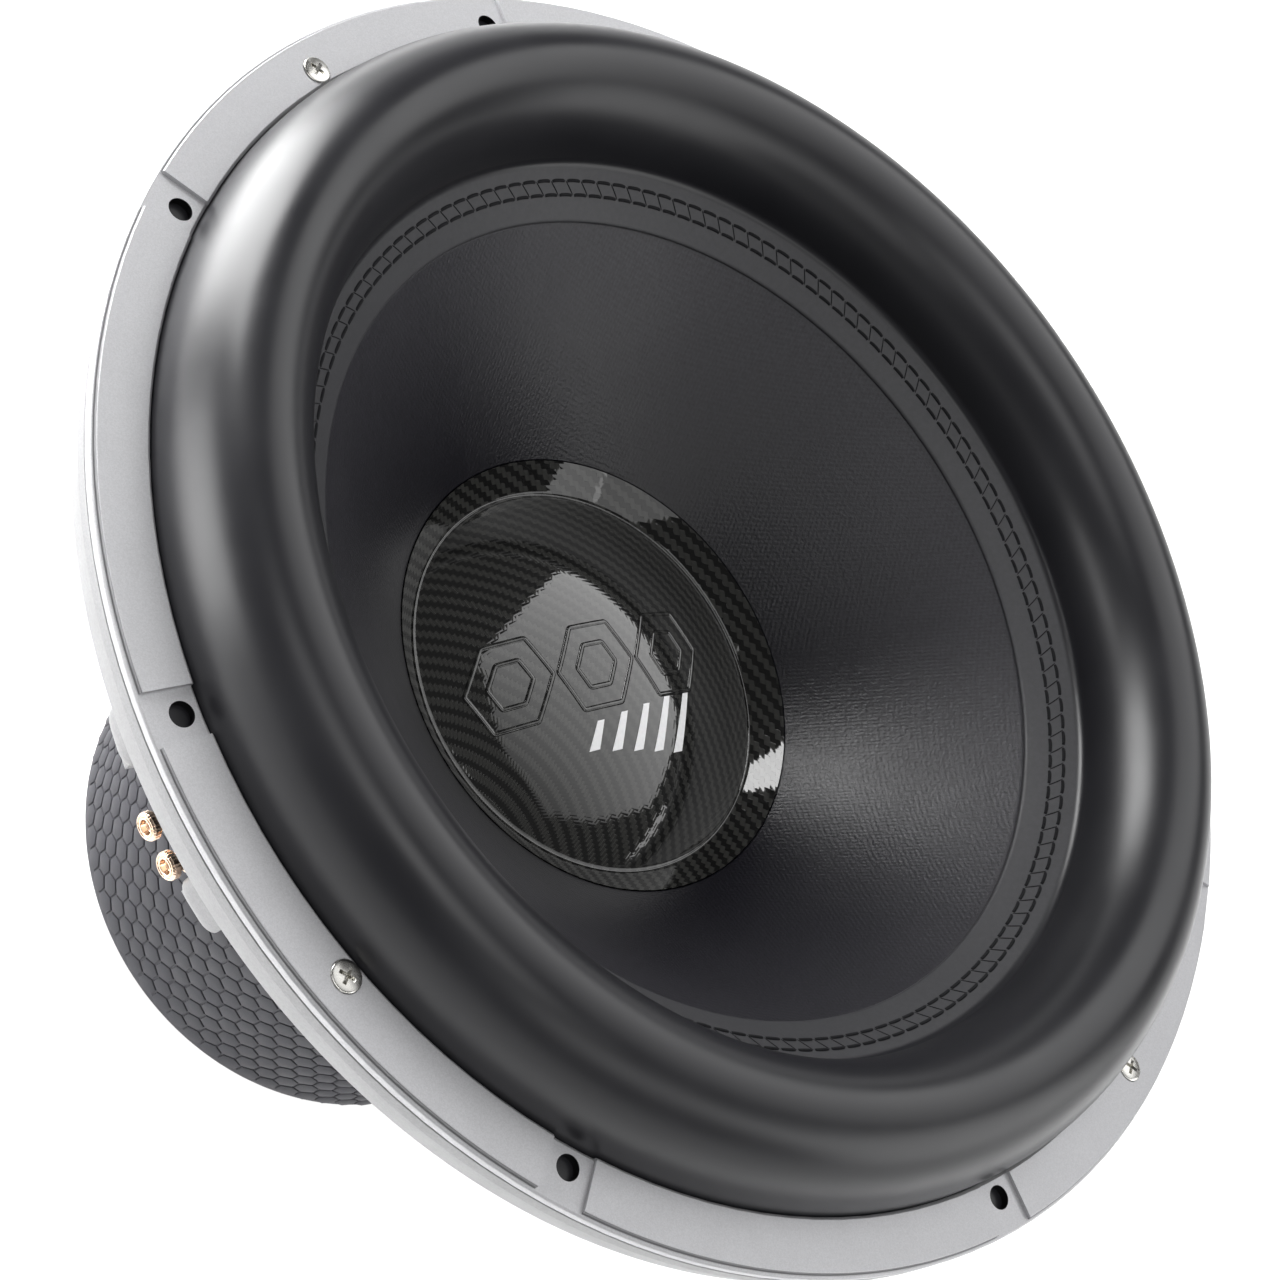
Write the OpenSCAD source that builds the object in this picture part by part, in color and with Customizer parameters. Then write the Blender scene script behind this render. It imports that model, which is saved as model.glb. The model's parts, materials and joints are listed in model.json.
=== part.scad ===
// Car subwoofer loudspeaker: cast frame, roll surround, cone, motor and push terminals.
// Millimetres. It stands on the rear face of its motor: z = 0 there, +Z is the way the cone fires.
// The axis of the cone and the voice coil is the Z axis.

/* [Frame] */
// Outside diameter of the frame and of its trim ring
frame_d = 470; // [466:1:476]
// Height of the front face above the rear face of the motor
front_z = 293; // [292:1:296]
// Height of the frame's rim, below the trim ring
rim_h = 16.1; // [14:0.1:18]
// Diameter of the circle through the mounting holes
bolt_circle_d = 446; // [444:1:448]
// Diameter of a mounting hole
bolt_hole_d = 8; // [6:0.5:8]
// Number of mounting holes
bolt_count = 8; // [8:8]
// Number of twin-spoke arms
arm_count = 6; // [6:6]
// Direction of the first twin-spoke arm
arm_angle = 49.2; // [49:0.1:49.6]
// Diameter of the step below the rim that drops into the enclosure's cut-out
spigot_d = 425; // [424:1:427]
// Angle between the two spokes of an arm
spoke_pitch = 16; // [15:0.5:17]
// Width of one spoke, as an angle
spoke_width = 5.2; // [4:0.1:6]

/* [Trim ring] */
// Thickness of the trim ring at a raised panel
trim_h = 4.6; // [4:0.1:5]
// Step between a raised panel and the pad round a mounting hole
panel_step = 1.5; // [1:0.1:2]
// Half the angle of the pad round a mounting hole
pad_half_angle = 2.05; // [1.9:0.05:2.4]
// Diameter of the head of a trim screw
trim_screw_d = 10.4; // [9:0.1:11]

/* [Cone and surround] */
// Radius of the roll's outer edge
roll_outer_r = 216; // [216:216]
// Radius of the roll's inner edge
roll_inner_r = 167.6; // [167:0.1:168]
// Height of the roll above its feet
roll_h = 35.2; // [33:0.1:37]
// Radius of the dust cap's lip
cap_lip_r = 84.3; // [84:0.1:85]
// Height of the dust cap's dome
cap_dome_h = 18; // [15:1:20]
// How far the cone travels each way
cone_travel = 20; // [15:1:22]

/* [Motor] */
// Outside diameter of the rubber boot
boot_d = 223; // [222:1:225]
// Outside diameter of a magnet ring
magnet_d = 216; // [212:1:216]
// Thickness of one magnet ring
magnet_h = 25; // [25:25]
// Number of magnet rings
magnet_count = 4; // [4:4]
// Inside diameter of the voice coil's former
coil_d = 101.6; // [101.4:0.1:101.8]
// Diameter of the vent through the pole
vent_d = 40; // [30:1:42]

/* [Terminals] */
// Direction of the first terminal block
terminal_angle = 51.1; // [50.8:0.1:51.3]
// Distance between the two posts of a block
post_pitch = 13.4; // [13:0.1:14]
// Diameter of a post
post_d = 9.5; // [9:0.1:10]
// Diameter of the hole for the wire
wire_hole_d = 4; // [3:0.5:4]
// How far a terminal button is pressed
button_travel = 4; // [3:0.5:4]

/* [Hidden] */
$fn = 180;
eps = 0.01;

silver = [0.82, 0.82, 0.84];
foam = [0.12, 0.12, 0.13];
paper = [0.17, 0.17, 0.18];
carbon = [0.1, 0.1, 0.11];
rubber = [0.28, 0.28, 0.31];
steel = [0.72, 0.72, 0.74];
ferrite = [0.22, 0.21, 0.21];
copper = [0.8, 0.45, 0.25];
gold = [0.86, 0.66, 0.36];
cloth = [0.75, 0.62, 0.32];

frame_r = frame_d / 2;
bolt_circle_r = bolt_circle_d / 2;
trim_bottom_z = front_z - trim_h;
rim_bottom_z = trim_bottom_z - rim_h;
pad_z = front_z - panel_step;
trim_inner_r = roll_outer_r + 0.3;
panel_r = frame_r - 1.4;
rim_taper = 2.6;
rim_inner_r = 206;
spigot_r = spigot_d / 2;
spigot_h = 6;
screw_circle_r = 222;
screw_count = 4;
screw_first_angle = 67.5;
screw_shank_r = 2.5;
screw_bottom_z = rim_bottom_z + 3;
bolt_pitch = 360 / bolt_count;

foam_t = 2.2;                      // thickness of the surround
seat_r = frame_r - 4.4;            // outer edge of the surround's clamped flange
seat_z = trim_bottom_z - foam_t;   // face of the frame that the flange lies on
roll_r = (roll_inner_r + roll_outer_r) / 2;
roll_half_w = (roll_outer_r - roll_inner_r) / 2;
roll_foot_z = front_z - 2.8;
roll_steps = 28;

groove_r = 149.7;                  // inner edge of the band glued to the cone's rim
groove_z = front_z - 16.8;
rim_edge_z = front_z - 5.8;
cone_rim_r = roll_inner_r + 0.6;
cone_t = 2.6;
lip_z = front_z - 80.1;            // top of the dust cap's lip
cap_groove_r = cap_lip_r - 9.2;    // bottom of the groove between lip and dome
cap_groove_z = front_z - 89.5;
cap_t = 1.2;
cap_sphere_r = (pow(cap_groove_r, 2) + pow(cap_dome_h, 2)) / (2 * cap_dome_h);
cap_steps = 18;
neck_top_z = 196;
neck_bottom_z = 190.6;

boot_r = boot_d / 2;
boot_wall = 3;
boot_corner = 5;
yoke_z = boot_wall;
yoke_h = 24;
yoke_r = 104;
magnet_z = yoke_z + yoke_h;
plate_z = magnet_z + magnet_count * magnet_h;
plate_h = 20;
plate_top_z = plate_z + plate_h;
boot_h = plate_top_z - 0.3;
magnet_bore_r = 60;
coil_gap = 1;
former_t = 0.6;
layer_t = 1;
winding_h = plate_h + 2 * cone_travel;
former_r = coil_d / 2;
winding_r = former_r + former_t;
winding_z = plate_z + plate_h / 2 - winding_h / 2;
former_z = winding_z - 8;
pole_r = former_r - 0.9;
sleeve_t = 1;
sleeve_z = plate_z - 16;
gap_r = winding_r + 2 * layer_t + coil_gap;
vent_r = vent_d / 2;
screen_r = vent_r + 2.6;
screen_t = 1.2;
screen_hole_r = 1.8;
screen_pitch = 5.2;
screen_rings = 3;
boot_opening_r = screen_r + 1.5;

plate_seat_h = 8;                  // foot of the frame, bolted to the top plate
seat_top_z = plate_top_z + plate_seat_h;
seat_inner_r = 84;
motor_bolt_r = 96;
motor_bolt_count = 6;
motor_bolt_angle = arm_angle + 180 / arm_count;

spider_r = 121;
spider_z = 172;
spider_t = 1.4;
spider_gap = 12.6;
spider_wave_h = 2;
spider_wave = 9.2;
shelf_inner_r = 109;
spider_step_r = 1.15;

knee_r = 210.5;                    // outside of the bend of a spoke
knee_bend = 10;
spoke_t = 9;
knee_z = front_z - 61;
foot_r = 112;
foot_z = seat_top_z - 5;

terminal_z = front_z - 64;
block_w = 22;
block_h = 20;
block_back_r = 187.5;
block_front_r = 196;
web_t = 6;
web_hole_r = 3.4;
block_screw_z = 7.2;                // height of the two screws above and below the posts
block_screw_r = 1.25;
post_l = 7.5;
post_wall = 1.5;
post_bore_r = post_d / 2 - post_wall;
button_clear = 0.15;
cap_h = 3;
cap_gap = 0.4;
button_rest_r = block_front_r + post_l + button_travel + cap_gap;
spring_r = 2.1;
spring_wire_r = 0.3;
terminal_count = 2;
lead_r = 1.2;

// ---- helpers ----

// Turns a flat [radius, height] outline round the Z axis.
module turned(points) {
    rotate_extrude() polygon(points);
}

// The same outline, but only over an angle centred on the given direction.
module sector(points, direction, width) {
    rotate([0, 0, direction - width / 2]) rotate_extrude(angle = width) polygon(points);
}

// A plain ring.
module ring(outer, inner, z, h) {
    translate([0, 0, z]) difference() {
        cylinder(r = outer, h = h);
        translate([0, 0, -1]) cylinder(r = inner, h = h + 2);
    }
}

// Places something at a radius, at equal steps round the axis.
module around(count, radius, first = 0) {
    for (i = [0:count - 1]) rotate([0, 0, first + i * 360 / count]) translate([radius, 0, 0]) children();
}

// Points of an elliptical arc in the [radius, height] plane.
function arc(centre, rx, ry, from, to, steps) =
    [for (i = [0:steps]) let (t = from + (to - from) * i / steps) centre + [rx * cos(t), ry * sin(t)]];

// Height of the corrugated spider at a radius.
function wave_z(r) = spider_wave_h * sin(360 * (r - shelf_inner_r) / spider_wave);

// ---- frame ----

// Side view of a spoke: down from the rim, round the knee, then in to the foot.
spoke_outline = concat(
    [[spigot_r - 0.3, rim_bottom_z + 2]],
    arc([knee_r - knee_bend, knee_z], knee_bend, knee_bend + 2, 0, -50, 8),
    [[foot_r - 2, foot_z + 1.5], [foot_r - 8, foot_z - 1], [foot_r - 9, foot_z + 1.5],
     [foot_r - 4, seat_top_z + 2], [knee_r - spoke_t - 1, knee_z + 1],
     [knee_r - spoke_t, knee_z + 14], [rim_inner_r + 1, rim_bottom_z + 2]]);

module basket_rim() {
    difference() {
        turned([[rim_inner_r, rim_bottom_z - spigot_h], [spigot_r, rim_bottom_z - spigot_h],
                [spigot_r, rim_bottom_z], [frame_r - rim_taper, rim_bottom_z],
                [frame_r, trim_bottom_z - 3], [frame_r, trim_bottom_z], [seat_r, trim_bottom_z],
                [seat_r, seat_z], [rim_inner_r + 4, seat_z], [rim_inner_r, seat_z - 4]]);
        around(bolt_count, bolt_circle_r)
            translate([0, 0, rim_bottom_z - 1]) cylinder(d = bolt_hole_d, h = rim_h + 2, $fn = 48);
        around(screw_count, screw_circle_r, screw_first_angle)
            translate([0, 0, screw_bottom_z]) cylinder(r = screw_shank_r, h = rim_h, $fn = 48);
    }
}

module basket_spokes() {
    for (i = [0:arm_count - 1], side = [-1, 1])
        sector(spoke_outline, arm_angle + i * 360 / arm_count + side * spoke_pitch / 2, spoke_width);
}

module basket_foot() {
    difference() {
        turned([[seat_inner_r, plate_top_z], [foot_r - 6, plate_top_z], [foot_r, foot_z],
                [spider_r + 2, spider_z - 6], [spider_r + 2, spider_z], [shelf_inner_r, spider_z],
                [shelf_inner_r, spider_z - 4], [foot_r + 2, spider_z - 8], [foot_r - 6, seat_top_z],
                [seat_inner_r, seat_top_z]]);
        around(motor_bolt_count, motor_bolt_r, motor_bolt_angle)
            translate([0, 0, plate_top_z - 1]) cylinder(r = 3.2, h = plate_seat_h + 2, $fn = 48);
    }
}

// The cast bracket between two spokes that carries a terminal block: a wall and two cheeks.
module terminal_web(direction) {
    low = terminal_z - block_h / 2 - 1;
    high = terminal_z + block_h / 2 + 1;
    back_r = block_back_r - web_t;
    sector([[back_r, low + 0.5], [block_back_r, low + 0.5], [block_back_r, high - 0.5],
            [back_r, high - 0.5]], direction, spoke_pitch - 1);
    for (side = [-1, 1])
        sector([[back_r + 0.5, low], [knee_r - spoke_t + 2, low], [knee_r - spoke_t + 2, high],
                [back_r + 0.5, high]], direction + side * (spoke_pitch / 2 - 1), 2.2);
}

module basket() {
    color(silver) union() {
        basket_rim();
        basket_spokes();
        basket_foot();
        difference() {
            for (i = [0:terminal_count - 1]) terminal_web(arm_angle + i * 180);
            place_posts() rotate([0, 90, 0]) translate([0, 0, block_back_r - web_t - 1])
                cylinder(r = web_hole_r, h = web_t + 2, $fn = 48);
            place_block_screws() translate([0, 0, block_back_r - web_t - 1])
                cylinder(r = block_screw_r + 0.1, h = web_t + 2, $fn = 48);
        }
    }
}

module trim_ring() {
    color(silver) difference() {
        union() {
            turned([[trim_inner_r, trim_bottom_z], [frame_r, trim_bottom_z], [frame_r, pad_z - 0.6],
                    [frame_r - 0.6, pad_z], [trim_inner_r + 1, pad_z], [trim_inner_r, pad_z - 1]]);
            for (i = [0:bolt_count - 1])
                sector([[trim_inner_r, trim_bottom_z + 1], [panel_r, trim_bottom_z + 1],
                        [panel_r, front_z - 0.4], [panel_r - 0.4, front_z],
                        [trim_inner_r + 1, front_z], [trim_inner_r, front_z - 1]],
                       (i + 0.5) * bolt_pitch, bolt_pitch - 2 * pad_half_angle);
        }
        around(bolt_count, bolt_circle_r)
            translate([0, 0, trim_bottom_z - 1]) cylinder(d = bolt_hole_d, h = trim_h + 2, $fn = 48);
        around(screw_count, screw_circle_r, screw_first_angle)
            translate([0, 0, trim_bottom_z - 1]) {
                cylinder(r = screw_shank_r, h = trim_h + 2, $fn = 48);
                translate([0, 0, trim_h - 2])
                    cylinder(r1 = screw_shank_r, r2 = trim_screw_d / 2, h = 3, $fn = 48);
            }
    }
}

module trim_screw() {
    head_z = front_z;
    difference() {
        union() {
            translate([0, 0, screw_bottom_z + 0.5])
                cylinder(r = screw_shank_r, h = head_z - 3 - screw_bottom_z, $fn = 48);
            translate([0, 0, head_z - 3])
                cylinder(r1 = screw_shank_r, r2 = trim_screw_d / 2, h = 3, $fn = 48);
            translate([0, 0, head_z - eps]) cylinder(r1 = trim_screw_d / 2, r2 = 3.2, h = 1, $fn = 48);
        }
        for (turn = [20, 110]) rotate([0, 0, turn])
            translate([-2.8, -0.65, head_z - 1.4]) cube([5.6, 1.3, 3]);
    }
}

module trim_screws() {
    color(steel) around(screw_count, screw_circle_r, screw_first_angle) trim_screw();
}

// ---- moving system ----

module surround() {
    color(foam) difference() {
        turned(concat(
            [[groove_r, groove_z], [groove_r, groove_z + foam_t - 0.4], [roll_inner_r - 1, rim_edge_z + 2]],
            arc([roll_r, roll_foot_z], roll_half_w, roll_h, 180, 0, roll_steps),
            [[roll_outer_r, trim_bottom_z], [seat_r - 0.2, trim_bottom_z], [seat_r - 0.2, seat_z],
             [roll_outer_r - foam_t, seat_z]],
            arc([roll_r, roll_foot_z], roll_half_w - foam_t, roll_h - foam_t, 0, 180, roll_steps),
            [[cone_rim_r + 0.6, rim_edge_z + 0.8], [cone_rim_r, rim_edge_z]]));
        around(bolt_count, bolt_circle_r)
            translate([0, 0, seat_z - 1]) cylinder(d = bolt_hole_d, h = foam_t + 2, $fn = 48);
        around(screw_count, screw_circle_r, screw_first_angle)
            translate([0, 0, seat_z - 1]) cylinder(r = screw_shank_r, h = foam_t + 2, $fn = 48);
    }
}

module cone_body() {
    seat_edge_r = cap_lip_r + 1;
    seat_foot_r = cap_groove_r + 1.5;
    color(paper) turned([
        [cone_rim_r, rim_edge_z], [groove_r, groove_z], [seat_edge_r, lip_z + 0.4],
        [seat_edge_r, lip_z - 0.6],
        [seat_foot_r, cap_groove_z - 0.4], [seat_foot_r - 2.6, cap_groove_z - 2],
        [winding_r, neck_top_z], [winding_r, neck_bottom_z],
        [winding_r + 1.4, neck_bottom_z], [winding_r + 2, neck_top_z - cone_t - 0.6],
        [seat_foot_r - 0.6, cap_groove_z - 2 - cone_t], [seat_foot_r + 2, cap_groove_z - 1.4],
        [seat_edge_r + 1.8, lip_z - 1.2], [groove_r + 1.7, groove_z - 2],
        [cone_rim_r, rim_edge_z - 2.4]]);
}

module dust_cap() {
    half_angle = asin(cap_groove_r / cap_sphere_r);
    centre = [0, cap_groove_z + cap_dome_h - cap_sphere_r];
    inner_r = cap_sphere_r - cap_t;
    color(carbon) turned(concat(
        [[cap_lip_r + 0.7, lip_z - 0.5], [cap_lip_r, lip_z]],
        arc(centre, cap_sphere_r, cap_sphere_r, 90 - half_angle, 90, cap_steps),
        arc(centre, inner_r, inner_r, 90, 90 - half_angle, cap_steps),
        [[cap_groove_r + cap_t, cap_groove_z - 0.2]]));
}

module coil_former() {
    color(copper) ring(winding_r, former_r, former_z, neck_top_z + 3 - former_z);
}

module winding_inner() {
    color(copper) ring(winding_r + layer_t, winding_r, winding_z, winding_h);
}

module winding_outer() {
    color(copper) ring(winding_r + 2 * layer_t, winding_r + layer_t, winding_z, winding_h);
}

module spider(z) {
    last = floor((shelf_inner_r - winding_r - 3) / spider_step_r);
    radii = [for (i = [0:last]) shelf_inner_r - i * spider_step_r];
    color(cloth) turned(concat(
        [[spider_r, z], [spider_r, z + spider_t]],
        [for (r = radii) [r, z + spider_t + wave_z(r)]],
        [[winding_r + 1.2, z + spider_t + 1.4], [winding_r + eps, z + spider_t + 1.4],
         [winding_r + eps, z - 1], [winding_r + 1.2, z - 0.4]],
        [for (i = [last:-1:0]) [radii[i], z + wave_z(radii[i])]]));
}

module spider_lower() {
    spider(spider_z);
}

module spider_upper() {
    spider(spider_z + spider_t + spider_gap);
}

module spider_spacer() {
    color(carbon) ring(spider_r, shelf_inner_r + 2, spider_z + spider_t, spider_gap);
}

// ---- motor ----

module top_plate() {
    color(steel) difference() {
        ring(yoke_r, gap_r, plate_z, plate_h);
        around(motor_bolt_count, motor_bolt_r, motor_bolt_angle)
            translate([0, 0, plate_top_z - 12]) cylinder(r = 3, h = 14, $fn = 48);
    }
}

module motor_bolt() {
    head_h = 6;
    difference() {
        union() {
            translate([0, 0, plate_top_z - 11]) cylinder(r = 3, h = plate_seat_h + 11 + eps, $fn = 48);
            translate([0, 0, seat_top_z]) cylinder(r = 5, h = head_h, $fn = 48);
        }
        translate([0, 0, seat_top_z + head_h - 3]) cylinder(r = 2.9, h = 4, $fn = 6);
    }
}

module motor_bolts() {
    color(steel) around(motor_bolt_count, motor_bolt_r, motor_bolt_angle) motor_bolt();
}

module magnet(index) {
    color(ferrite) ring(magnet_d / 2, magnet_bore_r, magnet_z + (index - 1) * magnet_h, magnet_h);
}

module magnet_1() { magnet(1); }

module magnet_2() { magnet(2); }

module magnet_3() { magnet(3); }

module magnet_4() { magnet(4); }

module pole_yoke() {
    color(steel) difference() {
        turned([[0, yoke_z], [yoke_r - 1.5, yoke_z], [yoke_r, yoke_z + 1.5], [yoke_r, magnet_z],
                [pole_r + 5, magnet_z], [pole_r, magnet_z + 8], [pole_r, sleeve_z],
                [pole_r - sleeve_t, sleeve_z], [pole_r - sleeve_t, plate_top_z], [0, plate_top_z]]);
        translate([0, 0, yoke_z - 1]) cylinder(r = vent_r, h = plate_top_z);
        translate([0, 0, yoke_z - 1]) cylinder(r = screen_r + 0.2, h = 1 + screen_t + 0.3);
        translate([0, 0, plate_top_z - 6]) cylinder(r1 = vent_r, r2 = vent_r + 7, h = 6 + eps);
    }
}

module shorting_sleeve() {
    color(copper) ring(pole_r, pole_r - sleeve_t, sleeve_z, plate_top_z - sleeve_z);
}

module vent_screen() {
    color(steel) translate([0, 0, yoke_z + 0.2]) difference() {
        cylinder(r = screen_r, h = screen_t);
        translate([0, 0, -1]) cylinder(r = screen_hole_r, h = screen_t + 2, $fn = 24);
        for (k = [1:screen_rings]) around(6 * k, k * screen_pitch)
            translate([0, 0, -1]) cylinder(r = screen_hole_r, h = screen_t + 2, $fn = 24);
    }
}

module motor_boot() {
    lip_r = yoke_r + 0.5;
    wall_r = boot_r - boot_wall;
    color(rubber) turned(concat(
        [[boot_opening_r, 0]],
        arc([boot_r - boot_corner, boot_corner], boot_corner, boot_corner, -90, 0, 6),
        arc([boot_r - 2, boot_h - 2], 2, 2, 0, 90, 4),
        [[lip_r, boot_h], [lip_r, boot_h - 2.5], [wall_r, boot_h - 3.5], [wall_r, boot_wall + 3],
         [wall_r - 3, boot_wall - eps], [boot_opening_r, boot_wall - eps]]));
}

// ---- push terminals ----

// A frame at the foot of each post: +X is outward along the post.
module place_post(block, index) {
    rotate([0, 0, terminal_angle + block * 180])
        translate([0, (index - 0.5) * post_pitch, terminal_z]) children();
}

module place_posts() {
    for (block = [0, 1], index = [0, 1]) place_post(block, index) children();
}

// The axis of each screw that holds a block: +Z is outward along the screw.
module place_block_screws() {
    for (block = [0, 1], z = [-block_screw_z, block_screw_z])
        rotate([0, 0, terminal_angle + block * 180]) translate([0, 0, terminal_z + z])
            rotate([0, 90, 0]) children();
}

module terminal_block(block) {
    color(carbon) difference() {
        rotate([0, 0, terminal_angle + block * 180])
            translate([block_back_r, -block_w / 2, terminal_z - block_h / 2])
                cube([block_front_r - block_back_r, block_w, block_h]);
        for (index = [0, 1]) place_post(block, index) {
            translate([block_back_r - 1, 0, 0]) rotate([0, 90, 0])
                cylinder(r = post_bore_r, h = 20, $fn = 48);
        }
        place_block_screws() translate([0, 0, block_back_r - 1])
            cylinder(r = block_screw_r + 0.1, h = 20, $fn = 48);
    }
}

module terminal_block_a() { terminal_block(0); }

module terminal_block_b() { terminal_block(1); }

// The fixed ribbed barrel of a post, with a cross hole for the wire.
module post(block, index) {
    color(gold) place_post(block, index) difference() {
        translate([block_front_r, 0, 0]) rotate([0, 90, 0]) union() {
            cylinder(d = post_d, h = 1.6, $fn = 64);
            cylinder(d = post_d - 0.9, h = post_l, $fn = 64);
            translate([0, 0, post_l - 1.4]) cylinder(d = post_d, h = 1.4, $fn = 64);
        }
        translate([block_front_r - 1, 0, 0]) rotate([0, 90, 0])
            cylinder(r = post_bore_r, h = post_l + 2, $fn = 64);
        translate([block_front_r + post_l / 2 + 0.1, 0, 0])
            cylinder(d = wire_hole_d, h = 20, center = true, $fn = 48);
    }
}

module post_a1() { post(0, 0); }

module post_a2() { post(0, 1); }

module post_b1() { post(1, 0); }

module post_b2() { post(1, 1); }

// The sprung button: pressed inward, its cross hole lines up with the barrel's.
module button(block, index) {
    rod_r = post_bore_r - button_clear;
    rod_start = block_back_r + button_travel + 3.2;
    color(gold) place_post(block, index) difference() {
        union() {
            translate([rod_start, 0, 0]) rotate([0, 90, 0])
                cylinder(r = rod_r, h = button_rest_r - rod_start + eps, $fn = 64);
            translate([button_rest_r, 0, 0]) rotate([0, 90, 0]) {
                cylinder(d = post_d, h = cap_h - 0.8, $fn = 64);
                translate([0, 0, cap_h - 0.8 - eps])
                    cylinder(d1 = post_d, d2 = post_d - 1.8, h = 0.8, $fn = 64);
            }
        }
        translate([block_front_r + post_l / 2 + 0.1 + button_travel, 0, 0])
            cylinder(d = wire_hole_d, h = 20, center = true, $fn = 48);
        translate([button_rest_r + cap_h - 0.7, 0, 0]) rotate([0, 90, 0]) cylinder(r = 2, h = 2, $fn = 48);
    }
}

module button_a1() { button(0, 0); }

module button_a2() { button(0, 1); }

module button_b1() { button(1, 0); }

module button_b2() { button(1, 1); }

// A button's return spring, drawn as a short sleeve behind the button.
module button_spring(block, index) {
    color(steel) place_post(block, index) translate([block_back_r + 0.1, 0, 0]) rotate([0, 90, 0])
        difference() {
            cylinder(r = spring_r, h = button_travel + 2.8, $fn = 48);
            translate([0, 0, -1]) cylinder(r = spring_r - 2 * spring_wire_r, h = 20, $fn = 48);
        }
}

module spring_a1() { button_spring(0, 0); }

module spring_a2() { button_spring(0, 1); }

module spring_b1() { button_spring(1, 0); }

module spring_b2() { button_spring(1, 1); }

module terminal_screws() {
    color(steel) place_block_screws() {
        translate([0, 0, block_back_r - 5])
            cylinder(r = block_screw_r, h = block_front_r - block_back_r + 5, $fn = 32);
        translate([0, 0, block_front_r]) cylinder(r = 2.4, h = 1.4, $fn = 32);
    }
}

// Route of a tinsel lead as [radius, height], from the edge of the spacer to the back of a post.
lead_route = [[121.6, 181.8], [123, 182.4], [126, 182.9], [129.6, 182.6], [133.6, 182.2], [138, 182.6],
              [142.6, 184.2], [147, 187], [151.4, 191], [155.6, 195.8], [159.4, 201.2], [162.8, 207],
              [165.8, 213], [168.6, 218.6], [171.8, 223.6], [175.6, 227.2], [180.4, 228.8], [187.2, 229]];

// A round tube along a route that lies in the plane y = side.
module tube(route, radius, side) {
    last = len(route) - 1;
    sides = 10;
    points = [for (i = [0:last], k = [0:sides - 1])
        let (run = route[min(i + 1, last)] - route[max(i - 1, 0)], across = [-run[1], run[0]] / norm(run),
             out = radius * cos(k * 360 / sides), sideways = radius * sin(k * 360 / sides))
        [route[i][0] + across[0] * out, side + sideways, route[i][1] + across[1] * out]];
    walls = [for (i = [0:last - 1], k = [0:sides - 1])
        let (next = (k + 1) % sides)
        each [[i * sides + k, i * sides + next, (i + 1) * sides + next],
              [i * sides + k, (i + 1) * sides + next, (i + 1) * sides + k]]];
    start = [for (k = [sides - 1:-1:0]) k];
    end = [for (k = [0:sides - 1]) last * sides + k];
    polyhedron(points, concat([start], walls, [end]));
}

module tinsel_lead(block, index) {
    color(copper) rotate([0, 0, terminal_angle + block * 180])
        tube(lead_route, lead_r, (index - 0.5) * post_pitch);
}

module tinsel_lead_a1() { tinsel_lead(0, 0); }

module tinsel_lead_a2() { tinsel_lead(0, 1); }

module tinsel_lead_b1() { tinsel_lead(1, 0); }

module tinsel_lead_b2() { tinsel_lead(1, 1); }

basket();
trim_ring();
trim_screws();
surround();
cone_body();
dust_cap();
coil_former();
winding_inner();
winding_outer();
spider_lower();
spider_upper();
spider_spacer();
top_plate();
motor_bolts();
magnet_1();
magnet_2();
magnet_3();
magnet_4();
pole_yoke();
shorting_sleeve();
vent_screen();
motor_boot();
terminal_block_a();
terminal_block_b();
post_a1();
post_a2();
post_b1();
post_b2();
button_a1();
button_a2();
button_b1();
button_b2();
spring_a1();
spring_a2();
spring_b1();
spring_b2();
terminal_screws();
tinsel_lead_a1();
tinsel_lead_a2();
tinsel_lead_b1();
tinsel_lead_b2();
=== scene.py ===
"""Looks of a car subwoofer loudspeaker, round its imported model, in metres. The cone fires along +Z."""
import json
from math import acos, cos, hypot, pi, radians, sin, sqrt, tan

import bmesh
import bpy
import numpy as np
from mathutils import Matrix, Vector

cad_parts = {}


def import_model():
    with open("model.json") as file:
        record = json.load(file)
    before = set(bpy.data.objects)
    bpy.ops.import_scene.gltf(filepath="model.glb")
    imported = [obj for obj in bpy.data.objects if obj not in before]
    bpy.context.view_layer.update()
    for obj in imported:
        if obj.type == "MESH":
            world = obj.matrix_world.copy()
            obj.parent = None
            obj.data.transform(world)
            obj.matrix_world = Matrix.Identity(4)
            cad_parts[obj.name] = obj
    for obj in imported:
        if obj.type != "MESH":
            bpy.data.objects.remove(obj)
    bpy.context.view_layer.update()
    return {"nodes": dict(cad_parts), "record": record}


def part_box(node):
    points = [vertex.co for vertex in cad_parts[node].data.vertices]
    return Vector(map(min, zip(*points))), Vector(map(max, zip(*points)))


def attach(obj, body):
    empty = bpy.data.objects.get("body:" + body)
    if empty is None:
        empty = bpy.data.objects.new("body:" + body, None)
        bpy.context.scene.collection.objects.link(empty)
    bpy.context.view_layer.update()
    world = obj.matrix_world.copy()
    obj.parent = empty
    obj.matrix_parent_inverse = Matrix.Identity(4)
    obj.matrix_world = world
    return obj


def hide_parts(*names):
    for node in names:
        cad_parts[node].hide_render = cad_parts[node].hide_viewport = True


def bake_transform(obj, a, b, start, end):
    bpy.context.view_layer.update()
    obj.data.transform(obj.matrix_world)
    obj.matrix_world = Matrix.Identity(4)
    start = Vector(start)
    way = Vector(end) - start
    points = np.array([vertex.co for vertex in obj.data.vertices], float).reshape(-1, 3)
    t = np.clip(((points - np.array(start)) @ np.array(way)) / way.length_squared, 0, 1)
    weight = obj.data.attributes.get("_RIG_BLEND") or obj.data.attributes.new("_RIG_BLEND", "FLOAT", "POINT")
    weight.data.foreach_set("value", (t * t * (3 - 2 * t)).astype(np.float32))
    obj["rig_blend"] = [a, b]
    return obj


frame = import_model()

MM = 0.001
NODES = frame["nodes"]


# ---- sizes, some read from the frame, the rest given ----

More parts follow.
